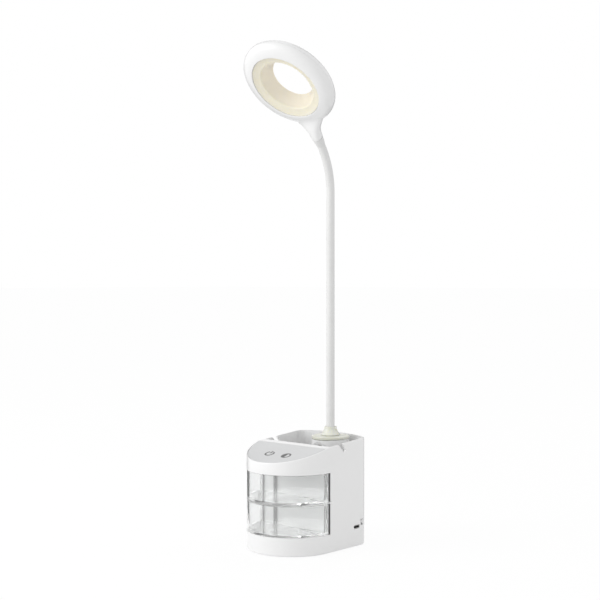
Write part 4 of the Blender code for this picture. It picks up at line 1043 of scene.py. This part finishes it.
class LAMP_OT_drawers(bpy.types.Operator):
    """Builds the two clear drawers, the clear shelf between them and the dark strips behind them, which paint the
    shade in the bay's gaps
    """
    bl_idname = "lamp.drawers"
    bl_label = "Drawers and shelf"

    def execute(self, context):
        shapes = context.scene.lamp_shapes
        top = SHELF_HEIGHT + SHELF
        build_tray("lower_tray", BAY_BOTTOM + GAP, SHELF_HEIGHT - GAP, shapes)
        build_tray("upper_tray", top + GAP, BAY_TOP - GAP, shapes)
        outline = base_outline(GAP, shapes.smoothness, front_only=WINDOW_END + SHELF_TONGUE)
        shelf = prism("tray_shelf_finished", outline, SHELF_HEIGHT, top)
        join(shelf, guide("shelf_guide_form", SHELF_HEIGHT + SHELF / 2, top + GUIDE_HEIGHT))
        clean(shelf)
        round_edges(shelf, shapes.tray_edge)
        dress(shelf, "clear_plastic", "base", "tray_shelf")
        # Dark strips on the back of the bay, beside and behind the drawers' ends: painted shade for the dark gaps
        # there
        stops = join(*(box(f"shade_strip_block_{x}_{low}", (x - width / 2, TRAY_BACK + GAP, low),
                           (x + width / 2, WINDOW_END, high))
                       for x, width in zip(SHADE_STRIP_PLACES, SHADE_STRIP_WIDTHS)
                       for low, high in ((BAY_BOTTOM, SHELF_HEIGHT - GAP), (top + GAP, BAY_TOP))))
        round_edges(stops, shapes.tray_edge)
        stops.name = "painted_shade_strips"
        dress(stops, "rubber", "base", finish="shade_strip_finish")
        return {"FINISHED"}


# Night light and neck socket

class LAMP_OT_night_light(bpy.types.Operator):
    """Builds the cream night-light lens and the flared socket that holds the gooseneck"""
    bl_idname = "lamp.night_light"
    bl_label = "Night light and socket"

    def execute(self, context):
        steps = context.scene.lamp_shapes.smoothness
        self.add_lens(steps)
        self.add_socket(steps)
        return {"FINISHED"}

    def add_lens(self, steps):
        """A shallow dome on the turret, with a spigot below and a hole for the socket."""
        low, high = TURRET_TOP + GAP, LENS_HIGH.z - LENS_CROWN
        hole, rim = SOCKET_RADIUS + GAP, TURRET_RADIUS - LENS_CROWN
        spigot = TURRET_RADIUS - TURRET_WALL - GAP
        inside = spigot - LENS_SPIGOT_WALL
        ceiling = low + (high - low) / 4
        crown = [(hole + (rim - hole) * t, high + LENS_CROWN * (1 - t * t))
                 for t in (i / CROWN_STEPS for i in range(CROWN_STEPS + 1))]
        edge = arc((rim, high - LENS_CROWN), LENS_CROWN, QUARTER, 0, steps=5)[1:]
        lens = turned("night_light_lens_finished", crown + edge + [
            (TURRET_RADIUS, low), (spigot, low), (spigot, low - LENS_SPIGOT), (inside, low - LENS_SPIGOT),
            (inside, ceiling), (hole, ceiling)], steps, centre=NECK)
        dress(lens, "cream_lens", "base", "night_light_lens")

    def add_socket(self, steps):
        """Lip, skirt and lugs above; a stem through the board below, with a bore and a wire hole."""
        foot, board = LENS_HIGH.z + GAP, WEB_TOP + GAP
        bore, seat = NECK_RADIUS + GAP, SOCKET_TOP - SOCKET_SEAT
        rise = SOCKET_TOP - SOCKET_LIP_ROOT - foot
        skirt = [(SKIRT_WAIST + (SKIRT_RADIUS - SKIRT_WAIST) * (1 - t) ** SKIRT_CURVE, foot + rise * t)
                 for t in (i / SKIRT_STEPS for i in range(SKIRT_STEPS, -1, -1))]
        lip = (SOCKET_LIP - SOCKET_WAIST) * SOCKET_LIP_ROUND
        top = arc((SOCKET_LIP - lip, SOCKET_TOP - lip), lip, QUARTER, 0, steps=4)
        height = SOCKET_TOP - SOCKET_LIP_HEIGHT
        socket = turned("neck_socket_finished", top + [(SOCKET_LIP, height)] + skirt + [
            (SOCKET_RADIUS, foot), (SOCKET_RADIUS, board), (SOCKET_STEM, board), (SOCKET_STEM, SOCKET_LOW.z),
            (WIRE_HOLE, SOCKET_LOW.z), (WIRE_HOLE, seat), (bore, seat), (bore, SOCKET_TOP - GAP),
            (bore + GAP, SOCKET_TOP)], steps, centre=NECK)
        for side in (-1, 1):
            lug = bar(f"lug_form_{side}", LUG_RADIUS,
                      (NECK_X + side * (SOCKET_WAIST - LUG_RADIUS / 2), NECK_Y, height),
                      (NECK_X + side * (SOCKET_LIP + LUG_REACH), NECK_Y, height))
            round_edges(lug, LUG_RADIUS * LUG_ROUND, segments=3)
            join(socket, lug)
        clean(socket)
        dress(socket, "cream_lens", "base", "neck_socket", finish="cream_socket")


# Gooseneck

def even_stops(start, end):
    """Stops of a plain length of sleeve, evenly spaced."""
    count = max(2, math.ceil((end - start) / NECK_STEP))
    return [(start + (end - start) * i / count, NECK_RADIUS) for i in range(count + 1)]


def collar_stops(start, end):
    """The last length: a short collar against the head's mouth, then the ferrule inside the head."""
    stops = even_stops(start, NECK_REST - COLLAR_LENGTH)
    stops += [(NECK_REST - COLLAR_LENGTH * (1 - t * COLLAR_SHARE),
               NECK_RADIUS + (COLLAR_RADIUS - NECK_RADIUS) * t ** COLLAR_CURVE) for t in COLLAR_STOPS]
    return stops + [(NECK_REST - GAP / 2, NECK_RADIUS), (end - GAP, NECK_RADIUS), (end, FERRULE_RADIUS),
                    (NECK_REST + FERRULE_LENGTH, FERRULE_RADIUS)]


def hinge_length(joint):
    """Where a joint lies along the gooseneck's line, from its place in the frame."""
    rise = (Vector(joint["pos_m"]) - PLACE).z - SOCKET_TOP
    if rise <= NECK_STRAIGHT:
        return rise
    return NECK_STRAIGHT + BEND_RADIUS * math.asin((rise - NECK_STRAIGHT) / BEND_RADIUS)


class LAMP_OT_gooseneck(bpy.types.Operator):
    """Builds the smooth silicone sleeve in lengths, one round each joint of the gooseneck"""
    bl_idname = "lamp.gooseneck"
    bl_label = "Gooseneck"

    def execute(self, context):
        hinges = [hinge_length(joint) for joint in NECK_JOINTS]
        middles = [(a + b) / 2 for a, b in zip(hinges, hinges[1:])]
        starts = [0.0] + middles
        ends = middles + [NECK_REST + MOUTH_DEPTH]
        root = tube("gooseneck_root_finished", even_stops(GAP - SOCKET_SEAT, 0.0))
        dress(root, "silicone", "base", "gooseneck_root")
        for index, (joint, start, end) in enumerate(zip(NECK_JOINTS, starts, ends), 1):
            last = index == len(NECK_JOINTS)
            length = tube(f"gooseneck_length_{index}", (collar_stops if last else even_stops)(start, end))
            dress(length, "silicone", None, "neck_ferrule" if last else f"gooseneck_link_{index}")
            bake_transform(length)
        return {"FINISHED"}


# Head

def rim_curve():
    """The head's outer section, from the lit edge over the widest line to the flat back."""
    points = []
    for i in range(2 * RIM_STEPS + 1):
        share = i / RIM_STEPS
        angle = QUARTER * share
        inner, depth = (LIT_RADIUS, 0) if share <= 1 else (BACK_RADIUS, HEAD_DEPTH)
        points.append((inner + (HEAD_RADIUS - inner) * math.sin(angle),
                       PARTING + (depth - PARTING) * abs(math.cos(angle))))
    return points


def between(shares, t):
    """A smooth run through a row of shares, t counted in rows."""
    i = min(int(t), len(shares) - 2)
    f = t - i
    before, beyond = shares[max(i - 1, 0)], shares[min(i + 2, len(shares) - 1)]
    here, after = shares[i], shares[i + 1]
    return here + 0.5 * f * (after - before + f * (2 * before - 5 * here + 4 * after - beyond
                                                   + f * (3 * (here - after) + beyond - before)))


def head_section(t):
    """One oval section of the head's neck."""
    y = NECK_REACH * between(NECK_SECTION_SHARES, t)
    half_width = MOUTH_RADIUS * between(NECK_WIDTH_SHARES, t)
    half_depth = MOUTH_RADIUS * between(NECK_DEPTH_SHARES, t)
    depth = PARTING * between(NECK_CENTRE_SHARES, t)

    def oval(value):
        return math.copysign(abs(value) ** NECK_POWER_SHARE, value)

    return [(half_width * oval(math.cos(angle)), y, depth + half_depth * oval(math.sin(angle)))
            for angle in (TURN * k / OVAL_SIDES for k in range(OVAL_SIDES))]


def head_form(shapes, matrix):
    """The whole head as one seamless skin: ring and neck joined, remeshed and smoothed."""
    back = SLEEVE_BACK_RADIUS + SHELL
    profile = [(back, HEAD_DEPTH), *rim_curve()[::-1], (LIT_RADIUS - DIFFUSER, 0), (back, 0)]
    form = turned("head_form", profile, 2 * shapes.smoothness, matrix)
    rows = len(NECK_SECTION_SHARES) - 1
    join(form, loft("head_neck_form", [head_section(rows * i / NECK_RINGS) for i in range(NECK_RINGS + 1)],
                    matrix))
    grid = form.modifiers.new("skin", "REMESH")
    grid.mode = "VOXEL"
    grid.voxel_size = shapes.head_grid
    grid.use_smooth_shade = True
    smooth = form.modifiers.new("fillet", "SMOOTH")
    smooth.factor = 0.5
    smooth.iterations = FILLET_PASSES
    return settle(form)


def split_tool(above, matrix):
    """One side of the parting between the head's halves: level, then down along the neck."""
    shift = SEAM / 2 if above else -SEAM / 2
    bend = NECK_REACH * NECK_SECTION_SHARES[-1]
    mouth, reach = NECK_REACH + OVERRUN, HEAD_RADIUS + OVERRUN
    far = HEAD_DEPTH + 2 * OVERRUN if above else -HEAD_DEPTH
    line = [(-reach, PARTING + shift), (bend, PARTING + shift), (NECK_REACH, NECK_OFFSET + shift),
            (mouth, NECK_OFFSET + shift), (mouth, far), (-reach, far)]
    return loft(f"split_tool_{above}", [[(x, y, z) for y, z in line] for x in (-reach, reach)], matrix)


def cavity_tool(steps, matrix):
    """The hollow of the head, with the flared lip of the lit opening."""
    outer, floor = HEAD_RADIUS - SHELL, HEAD_DEPTH - SHELL
    core, edge = SLEEVE_BACK_RADIUS / 2, LIT_RADIUS + SHELL + GAP
    lip = arc((LIT_RADIUS + GAP, GAP), GAP, HALF_TURN, 3 * QUARTER, steps=4)
    return turned("cavity_tool", [
        (sleeve_radius(floor) + SHELL + GAP, floor), (BACK_RADIUS, floor), (outer - SHELL, CAVITY_DEPTH),
        (outer, PARTING), (edge, SHELL + DIFFUSER), (edge, DIFFUSER), (LIT_RADIUS, DIFFUSER), *lip,
        (LIT_RADIUS + GAP, -OVERRUN), (core, -OVERRUN), (core, floor)], steps, matrix)


def hole_tool(steps, matrix):
    """The head's hole, tapered as the sleeve inside it."""
    top, low = HEAD_DEPTH + OVERRUN, HEAD_DEPTH - 2 * SHELL
    core = SLEEVE_BACK_RADIUS / 2
    return turned("hole_tool", [
        (sleeve_radius(top) + SHELL + GAP, top), (sleeve_radius(low) + SHELL + GAP, low), (core, low),
        (core, top)], steps, matrix)


class LAMP_OT_head_case(bpy.types.Operator):
    """Builds the head's two halves from one seamless skin, parted along the rim"""
    bl_idname = "lamp.head_case"
    bl_label = "Head case"

    def execute(self, context):
        shapes = context.scene.lamp_shapes
        steps = 2 * shapes.smoothness
        matrix = head_matrix()
        form = head_form(shapes, matrix)
        for name, above in (("head_shell", True), ("head_bezel", False)):
            half = form.copy()
            half.data = form.data.copy()
            half.name = f"{name}_finished"
            context.scene.collection.objects.link(half)
            combine(half, "INTERSECT", split_tool(above, matrix))
            mouth = NECK_REST + MOUTH_DEPTH
            bore = tube("ferrule_tool", [
                (NECK_REST - OVERRUN, NECK_RADIUS + GAP), (mouth, NECK_RADIUS + GAP),
                (mouth + GAP / 4, FERRULE_RADIUS + GAP),
                (NECK_REST + FERRULE_LENGTH + GAP, FERRULE_RADIUS + GAP)])
            cut(half, cavity_tool(steps, matrix), hole_tool(steps, matrix), bore)
            dress(half, "white_plastic", "head", name)
        bpy.data.objects.remove(form, do_unlink=True)
        return {"FINISHED"}


class LAMP_OT_ring_light(bpy.types.Operator):
    """Builds the lit diffuser ring and the tapered sleeve inside the head's hole"""
    bl_idname = "lamp.ring_light"
    bl_label = "Ring light"

    def execute(self, context):
        steps = 2 * context.scene.lamp_shapes.smoothness
        matrix = head_matrix()
        back, front = HEAD_DEPTH, SLEEVE_FRONT
        sleeve = turned("inner_sleeve_finished", [
            (sleeve_radius(front), front + SEAM), (sleeve_radius(front) + SHELL, front + SEAM),
            (sleeve_radius(back) + SHELL, back), (sleeve_radius(back), back)], steps, matrix)
        round_edges(sleeve, SEAM)
        # Its finish paints shade in its tan and, in part, light in its glow
        dress(sleeve, "opal_lit", "head", "inner_sleeve", finish="sleeve_shade_and_glow")
        edge = LIT_RADIUS - GAP
        fall = math.atan2(front - DIFFUSER_RECESS - RING_LIP, edge - SLEEVE_FRONT_RADIUS)
        bead = (SLEEVE_FRONT_RADIUS + RING_LIP, front)
        diffuser = turned("diffuser_ring_finished", [
            (edge, DIFFUSER_RECESS), *arc(bead, RING_LIP, fall - QUARTER, -HALF_TURN, steps=8),
            (bead[0] + SHELL, front), (edge, DIFFUSER_RECESS + 2 * DIFFUSER)], steps, matrix)
        round_edges(diffuser, SEAM)
        dress(diffuser, "opal_lit", "head", "diffuser_ring")
        return {"FINISHED"}


# Small parts

class LAMP_OT_charge_port(bpy.types.Operator):
    """Builds the charging socket's rounded shell and the slide switch's knob"""
    bl_idname = "lamp.charge_port"
    bl_label = "Charging socket and switch"

    def execute(self, context):
        mouth = RADIUS - PORT_RECESS
        back = mouth - PORT_LENGTH
        shell = rounded_slab("charge_socket_shell_finished", back, mouth, PORT_Y, PORT_WIDTH, PORT_LOW,
                             PORT_HEIGHT, PORT_RIM)
        cut(shell, rounded_slab("socket_inner_tool", back + 2 * PORT_WALL, mouth + OVERRUN, PORT_Y,
                                PORT_WIDTH - 2 * PORT_WALL, PORT_LOW + PORT_WALL, PORT_HEIGHT - 2 * PORT_WALL,
                                PORT_RIM - PORT_WALL))
        round_edges(shell, PORT_WALL / 4)
        dress(shell, "steel", "base", "charge_socket_shell")

        low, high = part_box("switch_knob")
        knob = box("switch_knob_finished", low - PLACE, high - PLACE)
        x = high.x - PLACE.x
        for groove in (-1, 0, 1):
            z = (low.z + high.z) / 2 + groove * KNOB_HEIGHT / 4
            cut(knob, bar(f"grip_tool_{groove}", GAP, (x, SWITCH_Y - KNOB_WIDTH, z),
                          (x, SWITCH_Y + KNOB_WIDTH, z), steps=12))
        clean(knob)
        round_edges(knob, GAP / 2)
        dress(knob, "white_plastic", "switch", "switch_knob")
        return {"FINISHED"}


class LAMP_OT_feet(bpy.types.Operator):
    """Builds the four rubber feet with their rounded edge"""
    bl_idname = "lamp.feet"
    bl_label = "Feet"

    def execute(self, context):
        for index in range(1, 5):
            low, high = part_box(f"foot_{index}")
            centre = (low + high) / 2 - PLACE
            radius = (high.x - low.x) / 2
            soft = (high.z - low.z) / 3
            profile = [(FOOT_HOLE, high.z), (radius, high.z),
                       *arc((radius - soft, low.z + soft), soft, 0, -QUARTER, steps=6),
                       (FOOT_HOLE, low.z)]
            foot = turned(f"foot_{index}_finished", profile, FOOT_STEPS, centre=centre)
            dress(foot, "rubber", "base", f"foot_{index}")
        return {"FINISHED"}


class LAMP_OT_inner_parts(bpy.types.Operator):
    """Finishes the parts that keep their own shape: cover, screws, ballast, battery and boards"""
    bl_idname = "lamp.inner_parts"
    bl_label = "Inner parts"

    def execute(self, context):
        slots = {item["node"]: item["material_slot"] for item in frame["record"]["subparts"]}
        for name, node in frame["nodes"].items():
            if not node.hide_render:
                node.data.materials.clear()
                node.data.materials.append(FINISHES[slots[name]])
        return {"FINISHED"}


# Stage

def sight(tree):
    """A value that is 1 for what the camera sees, also in gloss and through clear plastic."""
    path = add_node(tree, "LightPath", {})
    return math_node(tree, "MAXIMUM", path["Is Camera Ray"],
                     math_node(tree, "MAXIMUM", path["Is Glossy Ray"], path["Is Transmission Ray"]))


def floor_material():
    """Diffuse floor that shows as the white backdrop to the camera and in glass and gloss."""
    material = bpy.data.materials.new("studio_white")
    material.use_nodes = True
    tree = material.node_tree
    tree.nodes.clear()
    mix = add_node(tree, "MixShader", {0: math_node(tree, "MULTIPLY", sight(tree), BACKDROP_SHARE),
                                       1: add_node(tree, "BsdfDiffuse", {"Color": FLOOR_COLOUR})[0],
                                       2: add_node(tree, "Emission", {"Strength": BACKDROP})[0]})
    feed(tree, tree.nodes.new("ShaderNodeOutputMaterial").inputs["Surface"], mix[0])
    return material


def stage_world(strength):
    """Even ambient light; white to the camera and in glass and gloss."""
    world = bpy.data.worlds.new("studio")
    world.use_nodes = True
    tree = world.node_tree
    back = tree.nodes["Background"].inputs
    back["Color"].default_value = (1, 1, 1, 1)
    feed(tree, back["Strength"], ramp_node(tree, sight(tree), 0.0, 1.0, strength, 1.0))
    bpy.context.scene.world = world


def stage_piece(name, bm, material, matrix=None):
    """A piece of the studio, which isn't part of the lamp."""
    item = new_piece(name, bm, matrix)
    item.data.materials.append(material)
    return item


def add_edge_cards(turn):
    """Two dark cards beside the backdrop; only gloss and clear plastic show them, as thin dark edges."""
    across, away = Vector((math.cos(turn), math.sin(turn), 0)), Vector((-math.sin(turn), math.cos(turn), 0))
    corners = ((CARD_NEAR, 0), (CARD_FAR, 0), (CARD_FAR, CARD_TOP), (CARD_NEAR, CARD_TOP))
    material = new_finish("black_card", roughness=1.0, Base_Color=CARD_COLOUR)[0]
    for side, label in ((-1, "left"), (1, "right")):
        bm = bmesh.new()
        bm.faces.new([bm.verts.new(across * (side * CARD_SIDE) + away * depth + Vector((0, 0, height)))
                      for depth, height in corners])
        card = stage_piece(f"edge_card_{label}", bm, material)
        card.visible_camera = card.visible_diffuse = card.visible_shadow = False


def add_key_light(power):
    """One large soft light at the left front."""
    light = bpy.data.lights.new("key_light", "AREA")
    light.energy = power
    light.size = KEY_SIZE
    item = bpy.data.objects.new("key_light", light)
    item.location = PLACE + KEY_PLACE
    item.rotation_euler = (KEY_TARGET - item.location).to_track_quat("-Z", "Y").to_euler()
    bpy.context.scene.collection.objects.link(item)


def add_camera(stage):
    """The photograph's level view, shifted in its frame."""
    data = bpy.data.cameras.new("camera")
    data.lens = stage.lens
    data.sensor_width = 36
    data.shift_x, data.shift_y = SHIFT
    camera = bpy.data.objects.new("camera", data)
    turn = stage.azimuth
    camera.location = PLACE + Vector((stage.distance * math.sin(turn), -stage.distance * math.cos(turn),
                                      stage.height))
    camera.rotation_euler = (QUARTER, 0, turn)
    bpy.context.scene.collection.objects.link(camera)
    bpy.context.scene.camera = camera


class LAMP_OT_stage(bpy.types.Operator):
    """Sets the pale floor, the soft studio light, the dark edge cards and the camera"""
    bl_idname = "lamp.stage"
    bl_label = "Stage"

    def execute(self, context):
        stage = context.scene.lamp_stage
        bm = bmesh.new()
        bmesh.ops.create_grid(bm, x_segments=1, y_segments=1, size=FLOOR_SIZE)
        stage_piece("studio_floor", bm, floor_material(), Matrix.Identity(4))
        stage_world(stage.ambient)
        add_edge_cards(stage.azimuth)
        add_key_light(stage.key)
        add_camera(stage)
        context.scene.view_settings.view_transform = "Standard"
        return {"FINISHED"}


class LAMP_PT_sidebar(bpy.types.Panel):
    """Sidebar panel with the lamp's settings and its building steps"""
    bl_label = "Desk Lamp"
    bl_idname = "LAMP_PT_sidebar"
    bl_space_type = "VIEW_3D"
    bl_region_type = "UI"
    bl_category = "Desk Lamp"

    def draw(self, context):
        scene = context.scene
        for group in (scene.lamp_shapes, scene.lamp_colours, scene.lamp_stage):
            column = self.layout.column(align=True)
            for name in group.__annotations__:
                column.prop(group, name)
        column = self.layout.column(align=True)
        for step in STEPS:
            column.operator(step.bl_idname)


STEPS = (LAMP_OT_stage, LAMP_OT_base_housing, LAMP_OT_control_panel, LAMP_OT_drawers, LAMP_OT_night_light,
         LAMP_OT_gooseneck, LAMP_OT_head_case, LAMP_OT_ring_light, LAMP_OT_charge_port, LAMP_OT_feet,
         LAMP_OT_inner_parts)
CLASSES = (LampColours, LampShapes, LampStage, *STEPS, LAMP_PT_sidebar)


def register():
    for item in CLASSES:
        bpy.utils.register_class(item)
    bpy.types.Scene.lamp_colours = PointerProperty(type=LampColours)
    bpy.types.Scene.lamp_shapes = PointerProperty(type=LampShapes)
    bpy.types.Scene.lamp_stage = PointerProperty(type=LampStage)


def unregister():
    for name in ("lamp_colours", "lamp_shapes", "lamp_stage"):
        delattr(bpy.types.Scene, name)
    for item in reversed(CLASSES):
        bpy.utils.unregister_class(item)


def main():
    register()
    make_groups()
    make_finishes(bpy.context.scene.lamp_colours)
    bpy.ops.lamp.stage()
    bpy.ops.lamp.base_housing()
    bpy.ops.lamp.control_panel()
    bpy.ops.lamp.drawers()
    bpy.ops.lamp.night_light()
    bpy.ops.lamp.gooseneck()
    bpy.ops.lamp.head_case()
    bpy.ops.lamp.ring_light()
    bpy.ops.lamp.charge_port()
    bpy.ops.lamp.feet()
    bpy.ops.lamp.inner_parts()


if __name__ == "__main__":
    main()
